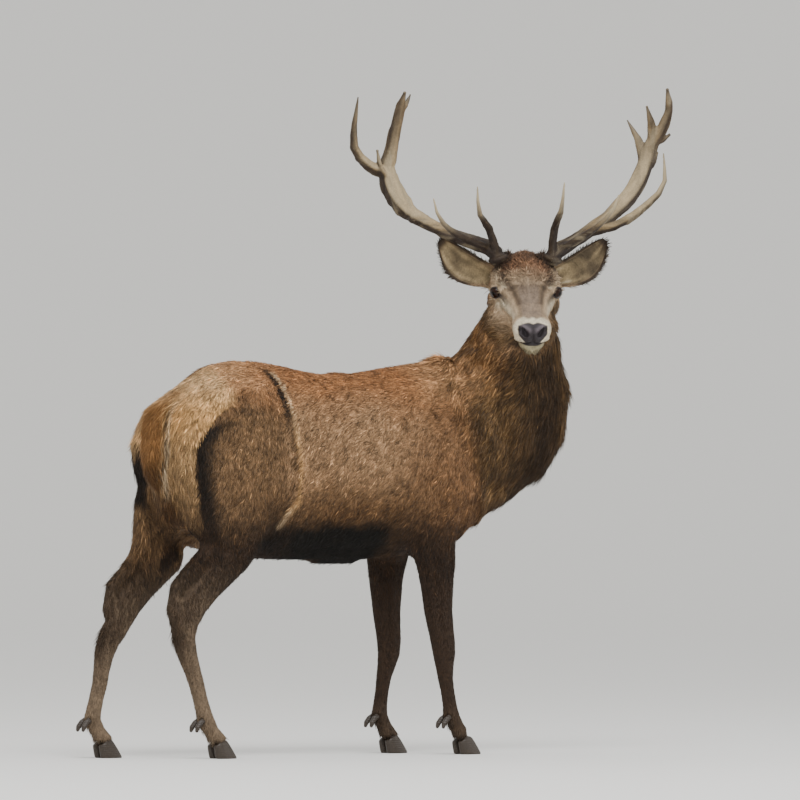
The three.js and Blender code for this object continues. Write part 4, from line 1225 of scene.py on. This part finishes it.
class StagBodyCoat(bpy.types.Operator):
    """Lays the short coat on trunk, shoulders and thighs"""
    bl_idname = "stag.body_coat"
    bl_label = "Body coat"

    def execute(self, context):
        sizes, dyes = context.scene.stag_coat, context.scene.stag_colours
        rng = np.random.default_rng(context.scene.stag_skin.seed)
        skin = skin_arrays()
        chance = share_of(skin, "trunk") + share_of(skin, *LIMBS) * ramp(skin["co"][:, 2], 0.50, 0.66)
        chance = chance + 0.8 * share_of(skin, "neck") * ramp(0.42 - skin["co"][:, 0], 0, 0.2)
        chance = chance * (skin["ear"][:, SIDE] == 0)
        for name, number, rings, longer, wide, bands in (("under", sizes.under, 1, 0.90, 0.0028, 3),
                                                         ("over", sizes.over, 2, 1.35, 0.0036, 1)):
            roots = coloured(sown(skin, chance, number, rng), dyes, rng, 0.55)
            along = (roots["co"][:, 0] - BOX["trunk"][0][0]) / np.ptp(BOX["trunk"][:, 0])
            size = sizes.body_length * longer * (1 + 0.6 * ramp(0.10 - along, 0, 0.08)
                                                 + 0.7 * share_of(roots, "neck"))
            laid(roots, rng, 0.35, size, wide, 0.17, 0.22)
            coat_pieces("coat_" + name, roots, rings, (0.74, 1.18),
                        ["trunk", "neck", *LIMBS], bands)
        return {"FINISHED"}


class StagMane(bpy.types.Operator):
    """Hangs the long locks of the neck"""
    bl_idname = "stag.mane"
    bl_label = "Mane"

    def execute(self, context):
        sizes, dyes = context.scene.stag_coat, context.scene.stag_colours
        rng = np.random.default_rng(context.scene.stag_skin.seed + 1)
        skin = skin_arrays()
        ahead, _, rise = to_head(skin["co"]).T
        jaw = share_of(skin, "head") * ramp(-0.035 - rise - 0.5 * ahead, 0, 0.04) * (ahead < 0.09)
        hung = share_of(skin, "neck") * ramp(skin["co"][:, 0], 0.20, 0.34)
        chance = (hung + 0.8 * jaw) * (skin["ear"][:, SIDE] == 0)
        roots = coloured(sown(skin, chance, sizes.mane, rng), dyes, rng, 0.52)
        front = ramp(roots["normal"] @ unit([1, -0.3, -0.4]), 0.0, 0.9)
        short = 0.45 + 0.55 * ramp(share_of(roots, "neck"), 0.2, 0.9)
        laid(roots, rng, 0.24, sizes.mane_length * (0.75 + 0.35 * front) * short, 0.0040, 0.12, 0.20)
        coat_pieces("mane", roots, 2, (0.66, 1.34), ["neck", "trunk", "head"], 3)
        return {"FINISHED"}


class StagFaceCoat(bpy.types.Operator):
    """Lays the shortest hair on the face, the curls of the forehead and the hair of the cheeks"""
    bl_idname = "stag.face_coat"
    bl_label = "Face coat"

    def execute(self, context):
        sizes, dyes = context.scene.stag_coat, context.scene.stag_colours
        rng = np.random.default_rng(context.scene.stag_skin.seed + 2)
        skin = skin_arrays()
        head = share_of(skin, "head") * (skin["ear"][:, SIDE] == 0)
        head = head * (1 - ramp(skin["bare"][:, 0], 0.05, 0.3))
        roots = coloured(sown(skin, head, sizes.face, rng), dyes, rng, 0.30)
        ahead, _, rise = to_head(roots["co"]).T
        size = sizes.face_length * (1 + 0.9 * ramp(0.12 - ahead, 0, 0.12) - 0.3 * ramp(ahead, 0.2, 0.24)
                                   + 1.6 * ramp(-0.094 - rise, 0, 0.01) * ramp(ahead, 0.13, 0.17))
        laid(roots, rng, 0.30, size, 0.0019, 0.14, 0.15)
        coat_pieces("face_hair", roots, 1, (0.74, 1.20), ["head"])

        ahead, _, rise = to_head(skin["co"]).T
        top = ramp(rise, 0.015, 0.045) * ramp(0.040 - ahead, 0, 0.03)
        cheek = ramp(-0.01 - ahead, 0, 0.03) + ramp(-0.02 - rise, 0, 0.04) * ramp(0.12 - ahead, 0, 0.05)
        roots = coloured(sown(skin, head * np.maximum(1.2 * top, cheek), sizes.crown, rng), dyes, rng, 0.30)
        ahead, _, rise = to_head(roots["co"]).T
        top = ramp(rise, 0.015, 0.045) * ramp(0.040 - ahead, 0, 0.03)
        size = 0.018 + 0.010 * ramp(-0.03 - rise, 0, 0.05) + 0.004 * top
        laid(roots, rng, 0.30 + 0.7 * top, size, 0.0034, 0.14 + 0.16 * top, 0.25 + 0.4 * top)
        coat_pieces("head_locks", roots, 2, (0.74, 1.22), ["head"])
        return {"FINISHED"}


class StagEarCoat(bpy.types.Operator):
    """Fills the ears with long pale hair and edges them with short dark hair"""
    bl_idname = "stag.ear_coat"
    bl_label = "Ear coat"

    def execute(self, context):
        sizes, dyes = context.scene.stag_coat, context.scene.stag_colours
        rng = np.random.default_rng(context.scene.stag_skin.seed + 3)
        skin = skin_arrays()
        chance = (skin["ear"][:, SIDE] != 0) * (0.7 + 0.6 * skin["ear"][:, EAR_KEYS.index("inner")])
        roots = coloured(sown(skin, chance, sizes.ears, rng), dyes, rng, 0.26)
        inner, edge, reach, _ = roots["ear"].T
        size = 0.007 + 0.026 * inner * (1 - edge) * (1 - reach) + 0.009 * inner + 0.010 * (reach < 0.12)
        laid(roots, rng, 0.30 + 0.25 * inner, size, 0.0022, 0.12 + 0.34 * inner, 0.35)
        roots["co"] = roots["co"] + roots["normal"] * (0.0008 * inner)[:, None]
        coat_pieces("ear_hair", roots, 2, (0.70, 1.30), ["head"])
        return {"FINISHED"}


class StagLegCoat(bpy.types.Operator):
    """Lays short hair down the legs, longer at the hock's gland and behind the fetlocks"""
    bl_idname = "stag.leg_coat"
    bl_label = "Leg coat"

    def execute(self, context):
        sizes, dyes = context.scene.stag_coat, context.scene.stag_colours
        rng = np.random.default_rng(context.scene.stag_skin.seed + 4)
        skin = skin_arrays()
        z = skin["co"][:, 2]
        chance = share_of(skin, *LIMBS) * ramp(0.68 - z, 0, 0.12) * ramp(z, 0.045, 0.06)
        roots = coloured(sown(skin, chance, sizes.legs, rng), dyes, rng, 0.20)
        z = roots["co"][:, 2]
        hind = share_of(roots, "hindleg_right", "hindleg_left")
        rear = ramp(-roots["normal"][:, 0], 0.1, 0.8)
        tuft = rear * (hump(z, 0.11, 0.03) + 1.4 * hind * hump(z, 0.40, 0.05))
        size = sizes.leg_length * (1 + 0.5 * ramp(z, 0.3, 0.6) + 0.9 * tuft + 0.8 * hump(z, 0.055, 0.018))
        laid(roots, rng, 0.16, size, 0.0026 + 0.001 * ramp(z, 0.3, 0.6), 0.10 + 0.15 * tuft, 0.12)
        coat_pieces("leg_hair", roots, 1, (0.84, 1.14), LIMBS)
        return {"FINISHED"}


class StagTailCoat(bpy.types.Operator):
    """Hangs the tail's hair"""
    bl_idname = "stag.tail_coat"
    bl_label = "Tail coat"

    def execute(self, context):
        sizes, dyes = context.scene.stag_coat, context.scene.stag_colours
        rng = np.random.default_rng(context.scene.stag_skin.seed + 5)
        skin = skin_arrays()
        roots = coloured(sown(skin, share_of(skin, "tail") ** 2, sizes.tail, rng), dyes, rng, 0.24)
        laid(roots, rng, 0.22, sizes.tail_length, 0.0050, 0.20, 0.25)
        coat_pieces("tail_hair", roots, 2, (0.62, 1.30), ["tail"])
        return {"FINISHED"}


# ---------------------------------------------------------------- eyes

class StagEyes(bpy.types.Operator):
    """Sets the two eyeballs in their lids"""
    bl_idname = "stag.eyes"
    bl_label = "Eyes"

    def execute(self, context):
        rows, ring = 31, 64
        for side, node in ((-1, "right"), (1, "left")):
            out = EYE_SIGHT * [1, side, 1] @ HEAD_AXES
            slit = unit((EYE_SLIT * [1, side, 1]) @ HEAD_AXES)
            up = np.cross(slit, out) * -side
            centre = from_head(eye_centre(side))
            a = np.linspace(0, np.pi, rows + 2)[:, None]
            b = np.linspace(0, 2 * np.pi, ring + 1)[None, :-1]
            cornea = 1 + 0.055 * np.exp(-(a / 0.55) ** 2)
            a, b, cornea = a[..., None], b[..., None], cornea[..., None]
            ball = (np.cos(a) * out + np.sin(a) * (np.cos(b) * slit + np.sin(b) * up)) * (EYE_BALL * cornea)
            co = centre + np.concatenate([ball[1:-1].reshape(-1, 3), ball[[0, -1], 0]])
            faces = closed_faces(rows, ring)
            if np.einsum("ij,ij->i", normals_of(co, faces), co - centre).mean() < 0:
                faces = faces[:, ::-1]
            piece = new_piece("eyeball_" + node, co, faces)
            from_eye = (co - centre) / EYE_BALL
            across, rise = from_eye @ slit, from_eye @ up
            pupil = ramp(1 - np.hypot(across / 0.46, rise / 0.26), 0, 0.25)
            iris = ramp(1 - np.hypot(across, rise) / 0.80, 0, 0.12)
            rgb = mixed(np.tile(linear("#100b09"), (len(co), 1)), "#25140b", iris)
            keep_values(piece.data, "dye", mixed(rgb, "#050404", pupil))
            piece.data.materials.append(wet_eye())
            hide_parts("eye_" + node)
        return {"FINISHED"}


# ---------------------------------------------------------------- antlers, hooves and dewclaws

def tube_axes(normals, ends, rounds=26):
    """Which way a branching tube runs at each vertex: the direction that the normals round it lean
    along least, which is the last eigenvector of the smoothed sum of n n^T."""
    pairs = ((0, 0), (1, 1), (2, 2), (0, 1), (0, 2), (1, 2))
    lean = eased(np.stack([normals[:, a] * normals[:, b] for a, b in pairs], 1), ends, rounds, 0.8)
    tensor = np.zeros((len(normals), 3, 3))
    for (a, b), column in zip(pairs, lean.T):
        tensor[:, a, b] = tensor[:, b, a] = column
    return np.linalg.eigh(tensor)[1][:, :, 0]


def smeared(values, co, ends, axes, rounds):
    """Values averaged only with the neighbours that lie along the tube, so that they run out in
    streaks; a neighbour's weight is the sixth power of its cosine with the axis."""
    a, b = ends.T
    step = unit(co[b] - co[a])
    weight = np.maximum(np.einsum("ij,ij->i", step, axes[a]) ** 6, 0.01)
    total = np.bincount(a, weight, len(co)) + np.bincount(b, weight, len(co))
    for _ in range(rounds):
        values = (np.bincount(a, weight * values[b], len(co))
                  + np.bincount(b, weight * values[a], len(co))) / total
    return values / values.std()


def thickness(co, normals, tri):
    """Half of the way through the solid behind each vertex."""
    tree = BVHTree.FromPolygons(co.tolist(), tri.tolist())
    start = co - normals * 0.0006
    hits = [tree.ray_cast(Vector(p), -Vector(n), 0.2)[3] for p, n in zip(start.tolist(), normals.tolist())]
    return np.array([0.03 if h is None else h / 2 for h in hits])


def rounded(co, tri, ends, radius):
    """A branching tube without its facets: smoothed far, least at the thin points, then let out again
    along its normals by what it lost on average round each vertex."""
    calm = 0.5 * ramp(radius, 0.002, 0.004) + 0.4 * ramp(radius, 0.004, 0.012)
    smooth = eased(co, ends, 70, calm)
    for _ in range(2):
        normals = normals_of(smooth, tri)
        lost = eased(((co - smooth) * normals).sum(1)[:, None], ends, 10, 0.9)
        smooth = smooth + normals * lost
    return smooth


def antler_bone():
    """Hard antler: dry bone with long gutters and pearls. The gutters and the root hold dark bark
    stain, rubbed faces are tan, the points are polished pale. Pearls are 3 to 5 mm."""
    made, tree = fresh("weathered antler bone")
    where = add(tree, "TexCoord").outputs["Object"]
    dye_at = add(tree, "Attribute", {"attribute_name": "dye"}).outputs["Color"]
    gutter = add(tree, "Attribute", {"attribute_name": "gutter"}).outputs["Fac"]
    polish = add(tree, "Attribute", {"attribute_name": "polish"}).outputs["Fac"]
    pearl = add(tree, "TexVoronoi", {"Scale": 210.0, "feature": "SMOOTH_F1"}, Vector=where)
    crack = add(tree, "TexNoise", {"Scale": 320.0, "Detail": 4.0}, Vector=where)
    blot = add(tree, "TexNoise", {"Scale": 38.0, "Detail": 4.0, "Roughness": 0.65}, Vector=where)
    round_pearl = add(tree, "MapRange", {"From Min": 0.0, "From Max": 0.55, "To Min": 1.0, "To Max": 0.0},
                      Value=pearl.outputs["Distance"])
    dull = add(tree, "Math", {"operation": "SUBTRACT", 0: 1.0}, i1=polish)
    bumps = add(tree, "Math", {"operation": "MULTIPLY"}, i0=round_pearl.outputs[0], i1=dull.outputs[0])
    height = add(tree, "Math", {"operation": "MULTIPLY_ADD", 1: 0.45}, i0=crack.outputs["Fac"],
                 i2=bumps.outputs[0])
    full = add(tree, "Math", {"operation": "MULTIPLY_ADD", 1: 0.8}, i0=gutter, i2=height.outputs[0])
    bump = add(tree, "Bump", {"Strength": 0.7, "Distance": 0.0014}, Height=full.outputs[0])
    shade = add(tree, "MapRange", {"From Min": 0.30, "From Max": 0.72, "To Min": 0.86, "To Max": 1.12},
                Value=blot.outputs["Fac"])
    worn = add(tree, "MapRange", {"From Min": 0.0, "From Max": 1.0, "To Min": 0.86, "To Max": 1.08},
               Value=bumps.outputs[0])
    both = add(tree, "Math", {"operation": "MULTIPLY"}, i0=shade.outputs[0], i1=worn.outputs[0])
    colour = add(tree, "VectorMath", {"operation": "SCALE"}, i0=dye_at, Scale=both.outputs[0])
    rough = add(tree, "MapRange", {"To Min": 0.66, "To Max": 0.34}, Value=polish)
    shader = add(tree, "BsdfPrincipled", {"Specular IOR Level": 0.4}, Base_Color=colour.outputs[0],
                 Roughness=rough.outputs[0], Normal=bump.outputs[0])
    add(tree, "OutputMaterial", Surface=shader.outputs[0])
    return made


def hoof_horn():
    """Horn of a hoof: dark, ringed across by growth every 3 mm, with fine upright fibres."""
    made, tree = fresh("weathered hoof horn")
    where = add(tree, "TexCoord").outputs["Object"]
    rings = add(tree, "TexWave", {"bands_direction": "Z", "Scale": 48.0, "Distortion": 0.7, "Detail": 2.0},
                Vector=where)
    fibre = add(tree, "Mapping", {"Scale": (900, 900, 60)}, Vector=where)
    grain = add(tree, "TexNoise", {"Scale": 1.0, "Detail": 3.0}, Vector=fibre.outputs["Vector"])
    tone = add(tree, "ValToRGB", Fac=grain.outputs["Fac"])
    tone.color_ramp.elements[0].color = (*linear("#15110e"), 1)
    tone.color_ramp.elements[1].color = (*linear("#4a3e33"), 1)
    both = add(tree, "Math", {"operation": "MULTIPLY_ADD", 1: 0.5}, i0=grain.outputs["Fac"],
               i2=rings.outputs["Fac"])
    bump = add(tree, "Bump", {"Strength": 0.5, "Distance": 0.0012}, Height=both.outputs[0])
    shader = add(tree, "BsdfPrincipled", {"Roughness": 0.42, "Specular IOR Level": 0.45},
                 Base_Color=tone.outputs["Color"], Normal=bump.outputs[0])
    add(tree, "OutputMaterial", Surface=shader.outputs[0])
    return made


class StagBone(bpy.types.PropertyGroup):
    """The antlers' surface and its colours"""
    grain: length("Grain", "Face size of the antlers' surface", 0.0029, 0.05)
    gutters: length("Gutters", "Depth of the grooves along the beams", 0.0013, 0.02)
    burr: length("Burr", "How far the coronet stands out", 0.003, 0.05)
    # bark staining of the roots and gutters, also used as painted shade on the antlers' undersides and on
    # faces turned away from the front and top
    stain_and_shade: dye("Stain", "Bark stain of the roots and undersides", "#271b14")
    bone: dye("Bone", "Rubbed faces of the beams", "#9f8457")
    # weathered bone, also used as painted shade on faces turned away from the front and top
    dull: dye("Dull bone", "Weathered upper lengths", "#6f583b")
    tip: dye("Points", "Polished points of the tines", "#c8b795")


def antler_colours(co, normals, side, gutter, radius, dyes):
    """Bark staining at the root and in the gutters; on the outer underside and on faces turned away from the
    front and top, staining with painted shade; tan faces, paler where they turn up and ahead from rubbing
    and a painted highlight; pale points below the crown and smoky ones on it."""
    from_burr = np.linalg.norm(to_head(co) - BURR * [1, side, 1], axis=1)
    outward = unit(HEAD_LEFT * side * 0.75 - UP * 0.66)
    # the outer underside darker: staining with painted shade
    under = ramp(normals @ outward + 0.15 * gutter, -0.15, 0.45)
    blot = noise(co, 0.045, 22)
    high = ramp(co[:, 2], 1.86, 2.02)
    rgb = np.tile(linear(dyes.bone), (len(co), 1))
    rgb = mixed(rgb, dyes.dull, np.clip(0.45 + 0.35 * blot + 0.45 * high, 0, 1))
    rgb = mixed(rgb, dyes.stain_and_shade, 0.5 * (side > 0) * hump(co[:, 2], 1.97, 0.09)
                * ramp(blot + 0.5 * gutter, -0.8, 0.8))
    # faces turned away from the front and the top darker: painted shade over the staining and the weathered
    # bone
    facing = normals @ unit(HEAD_AHEAD + 0.5 * UP) + 0.22 * gutter
    edge = 1 - ramp(facing, -0.2, 0.62)
    rgb = mixed(rgb, dyes.dull, 0.8 * (1 - ramp(facing, 0.2, 0.9)))
    rgb = mixed(rgb, dyes.stain_and_shade, np.maximum(0.92 * under, 0.75 * edge) * (1 - 0.25 * high))
    rgb = mixed(rgb, dyes.stain_and_shade, ramp(0.27 - from_burr + 0.05 * blot + 0.02 * gutter, 0.0, 0.14) * 0.9)
    rgb = mixed(rgb, dyes.stain_and_shade, 0.85 * ramp(-gutter, 0.2, 1.5))
    rgb = mixed(rgb, dyes.tip, 0.25 * ramp(gutter, 0.4, 1.8))
    # faces that turn up and ahead paler: rubbed polish with a painted highlight
    worn = ramp(normals @ unit(HEAD_AHEAD + 0.9 * UP - 0.3 * side * HEAD_LEFT), 0.25, 0.95)
    rgb = mixed(rgb, dyes.tip, 0.55 * worn * ramp(from_burr, 0.14, 0.34) * (1 - 0.5 * high))
    point = ramp(0.0105 - radius, 0, 0.0080)
    rgb = mixed(rgb, dyes.tip, point * (1 - high) * 0.85)
    return mixed(rgb, dyes.stain_and_shade, point * high * 0.5)


class StagAntlers(bpy.types.Operator):
    """Makes each antler as one bone with a coronet, gutters and polished points"""
    bl_idname = "stag.antlers"
    bl_label = "Antlers"

    def execute(self, context):
        size = context.scene.stag_bone
        bone = antler_bone()
        for side, word in ((-1, "right"), (1, "left")):
            nodes = [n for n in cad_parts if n.startswith(f"antler_{word}_")]
            mesh = remeshed(nodes, size.grain, "antler_" + word)
            co, tri = corners(mesh)
            ends = edges_of(mesh)
            seed = 40 + side
            radius = eased(thickness(co, normals_of(co, tri), tri)[:, None], ends, 12, 0.8)[:, 0]
            co = rounded(co, tri, ends, radius)
            normals = normals_of(co, tri)
            axes = tube_axes(normals, ends)
            rng = np.random.default_rng(seed)
            gutter = smeared(rng.normal(size=len(co)), co, ends, axes, 60)
            broad = smeared(noise(co, 0.010, seed), co, ends, axes, 220)
            gutter = 0.55 * gutter + 0.75 * broad
            thick = ramp(radius, 0.006, 0.014)
            place = to_head(co) - BURR * [1, side, 1]
            axis = BURR_AXIS * [1, side, 1]
            along = place @ axis
            off = np.linalg.norm(place - along[:, None] * axis, axis=1)
            ring = hump(along, 0, 0.0075) * (off < 0.055)
            beads = 1 + 0.45 * noise(co, 0.0085, 7)
            near = ramp(0.24 - np.linalg.norm(place, axis=1), 0, 0.2) * (along > 0)
            pearls = 0.0013 * np.maximum(noise(co, 0.0075, 8), 0) * near
            lift = size.gutters * gutter * thick * (1 - ring) + size.burr * ring * beads + pearls
            co = co + normals * lift[:, None]
            piece = new_piece("antler_" + word, co, tri)
            rgb = antler_colours(co, normals, side, gutter, radius, size)
            keep_values(piece.data, "dye", rgb)
            keep_values(piece.data, "gutter", np.clip(0.5 + 0.2 * gutter, 0, 1), "FLOAT")
            keep_values(piece.data, "polish", ramp(0.0105 - radius, 0, 0.005), "FLOAT")
            piece.data.materials.append(bone)
            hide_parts(*nodes)
        return {"FINISHED"}


TOE_PROFILE = ([0.0, 0.10, 0.22, 0.30, 0.36, 0.50, 0.68, 0.80, 0.88, 0.95, 1.0],
               [0.0, 0.70, 0.94, 1.00, 1.00, 0.93, 0.83, 0.76, 0.66, 0.38, 0.0],
               [0.05, 0.02, 0.0, 0.05, 0.16, 0.46, 0.82, 1.0, 1.10, 1.16, 1.18])


def toe_horn(box, inward, rows=40, columns=48):
    """One toe's horn over its CAD box. Going from the sole's middle out, up the wall and over the
    coronet, TOE_PROFILE gives the share of the radius and of the height. Round it, at an angle a from
    the front, the wall reaches 44 mm ahead or 30 mm behind and half the box's width aside, less towards
    the toe's point and on the flat inner wall; the coronet falls to the heel as 0.86 + 0.14 cos a."""
    (_, y0, z0), (x1, y1, z1) = box
    share = np.linspace(0, 1, rows)[:, None]
    reach, rise = (np.interp(share, TOE_PROFILE[0], values) for values in TOE_PROFILE[1:])
    a = np.linspace(0, 2 * np.pi, columns + 1)[None, :-1]
    front = np.maximum(np.cos(a), 0)
    z = z0 + (z1 - z0) * rise * (0.86 + 0.14 * np.cos(a)) * np.ones_like(a)
    x = x1 - 0.044 - 0.42 * (z - z0) + reach * np.where(np.cos(a) > 0, 0.044, 0.030) * np.cos(a)
    flat = 1 - 0.25 * (np.sin(a) * inward > 0) * np.abs(np.sin(a))
    y = (y0 + y1) / 2 + reach * (y1 - y0) / 2 * np.sin(a) * flat * (1 - 0.30 * front ** 2)
    co = np.stack([x, y, z], -1)
    return np.concatenate([co[1:-1].reshape(-1, 3), co[[0, -1]].mean(1)]), closed_faces(rows - 2, columns)


class StagHooves(bpy.types.Operator):
    """Makes the cloven hooves and the dewclaws"""
    bl_idname = "stag.hooves"
    bl_label = "Hooves and dewclaws"

    def execute(self, context):
        horn = hoof_horn()
        for node in [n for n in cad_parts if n.startswith(("hoof_", "dewclaw_"))]:
            if node.startswith("hoof_"):
                box = np.array(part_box(node))
                foot = node.rsplit("_", 1)[0]
                cleft = (middle(foot + "_inner")[1] + middle(foot + "_outer")[1]) / 2
                co, faces = toe_horn(box, np.sign(cleft - box[:, 1].mean()))
            else:
                mesh = remeshed([node], 0.0024, node)
                co, faces = corners(mesh)
                co = eased(co, edges_of(mesh), 14, 0.5, 0.46)
            piece = new_piece("horn_" + node, co, faces)
            piece.data.materials.append(horn)
            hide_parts(node)
        return {"FINISHED"}


# ---------------------------------------------------------------- the stage

AIM = (0.0436, -0.0088, 1.136)  # the point in the middle of the stag that the camera looks at
TO_CAMERA = (-0.5, -0.8665)  # the way from the stag to the camera, over the floor
ABOVE_FEET = Vector((0, 0, 1.0))  # where the lamps are aimed


class StagStageMaker(bpy.types.Operator):
    """Lays the floor, hangs the soft lights and sets the camera"""
    bl_idname = "stag.stage"
    bl_label = "Stage"

    def execute(self, context):
        stage = context.scene.stag_stage
        spokes, flat, far, height = 96, 30, 46, 18  # flat for 30 m, then rising to 18 m at 46 m
        r = np.concatenate([np.linspace(6, flat, 25), np.linspace(flat + 1, far, 30)])[:, None]
        turn = np.linspace(0, 2 * np.pi, spokes + 1)[:-1]
        rise = height * np.clip((r - flat) / (far - flat), 0, 1) ** 2.2
        rings = np.stack([r * np.cos(turn), r * np.sin(turn), rise + 0 * turn], -1).reshape(-1, 3)
        i, j = np.meshgrid(np.arange(len(r) - 1), np.arange(spokes), indexing="ij")
        k = (j + 1) % spokes
        quads = np.stack([i * spokes + j, (i + 1) * spokes + j, (i + 1) * spokes + k, i * spokes + k], -1)
        j = np.arange(spokes)
        disc = np.stack([np.full(spokes, len(rings)), j, (j + 1) % spokes], 1)
        mesh = bpy.data.meshes.new("floor")
        mesh.from_pydata(np.concatenate([rings, [[0, 0, 0]]]).tolist(), [],
                         quads.reshape(-1, 4).tolist() + disc.tolist())
        mesh.polygons.foreach_set("use_smooth", np.ones(len(mesh.polygons), bool))
        floor = bpy.data.objects.new("floor", mesh)
        context.scene.collection.objects.link(floor)
        paint = bpy.data.materials.new("matt pale studio paint")
        paint.use_nodes = True
        shader = paint.node_tree.nodes["Principled BSDF"]
        shader.inputs["Base Color"].default_value = (*linear(stage.floor), 1)
        shader.inputs["Roughness"].default_value = 0.95
        mesh.materials.append(paint)

        world = bpy.data.worlds.new("studio sky")
        world.use_nodes = True
        world.node_tree.nodes["Background"].inputs[0].default_value = (0.95, 0.95, 0.94, 1)
        world.node_tree.nodes["Background"].inputs[1].default_value = 1.0
        context.scene.world = world
        for name, place, side, power in (("key", (-3.0, -6.0, 9.0), 6.0, 760),
                                         ("fill", (6.0, -5.0, 4.0), 5.0, 130)):
            lamp = bpy.data.lights.new(name, "AREA")
            lamp.size = side
            lamp.energy = power
            light = bpy.data.objects.new(name, lamp)
            light.location = place
            light.rotation_euler = (ABOVE_FEET - Vector(place)).to_track_quat("-Z", "Y").to_euler()
            context.scene.collection.objects.link(light)

        view = bpy.data.cameras.new("camera")
        view.lens = stage.lens
        view.sensor_width = 36
        view.clip_end = 200
        camera = bpy.data.objects.new("camera", view)
        camera.location = (AIM[0] + TO_CAMERA[0] * stage.stand_off, TO_CAMERA[1] * stage.stand_off,
                           stage.eye_height)
        aim = Vector(AIM) - camera.location
        camera.rotation_euler = aim.to_track_quat("-Z", "Y").to_euler()
        context.scene.collection.objects.link(camera)
        context.scene.camera = camera
        return {"FINISHED"}


# ---------------------------------------------------------------- the add-on's own parts

GROUPS = {"stag_stage": StagStage, "stag_skin": StagSkin, "stag_colours": StagColours,
          "stag_coat": StagCoat, "stag_bone": StagBone}
MAKERS = [StagStageMaker, StagSkinMaker, StagEyes, StagBodyCoat, StagMane,
          StagFaceCoat, StagEarCoat, StagLegCoat, StagTailCoat, StagAntlers, StagHooves]


class StagPanel(bpy.types.Panel):
    """Lists the pieces and the sizes and colours they are made from"""
    bl_idname = "VIEW3D_PT_stag"
    bl_label = "Red deer stag"
    bl_space_type = "VIEW_3D"
    bl_region_type = "UI"
    bl_category = "Stag"

    def draw(self, context):
        for name, group in GROUPS.items():
            box = self.layout.box()
            for field in group.__annotations__:
                box.prop(getattr(context.scene, name), field)
        for maker in MAKERS:
            self.layout.operator(maker.bl_idname)


def register():
    for name, group in GROUPS.items():
        bpy.utils.register_class(group)
        setattr(bpy.types.Scene, name, bpy.props.PointerProperty(type=group))
    for maker in [*MAKERS, StagPanel]:
        bpy.utils.register_class(maker)


def unregister():
    for maker in [StagPanel, *reversed(MAKERS)]:
        bpy.utils.unregister_class(maker)
    for name, group in GROUPS.items():
        delattr(bpy.types.Scene, name)
        bpy.utils.unregister_class(group)


def main():
    """Makes every piece in order."""
    register()
    for maker in MAKERS:
        group, verb = maker.bl_idname.split(".")
        getattr(getattr(bpy.ops, group), verb)()


if __name__ == "__main__":
    main()
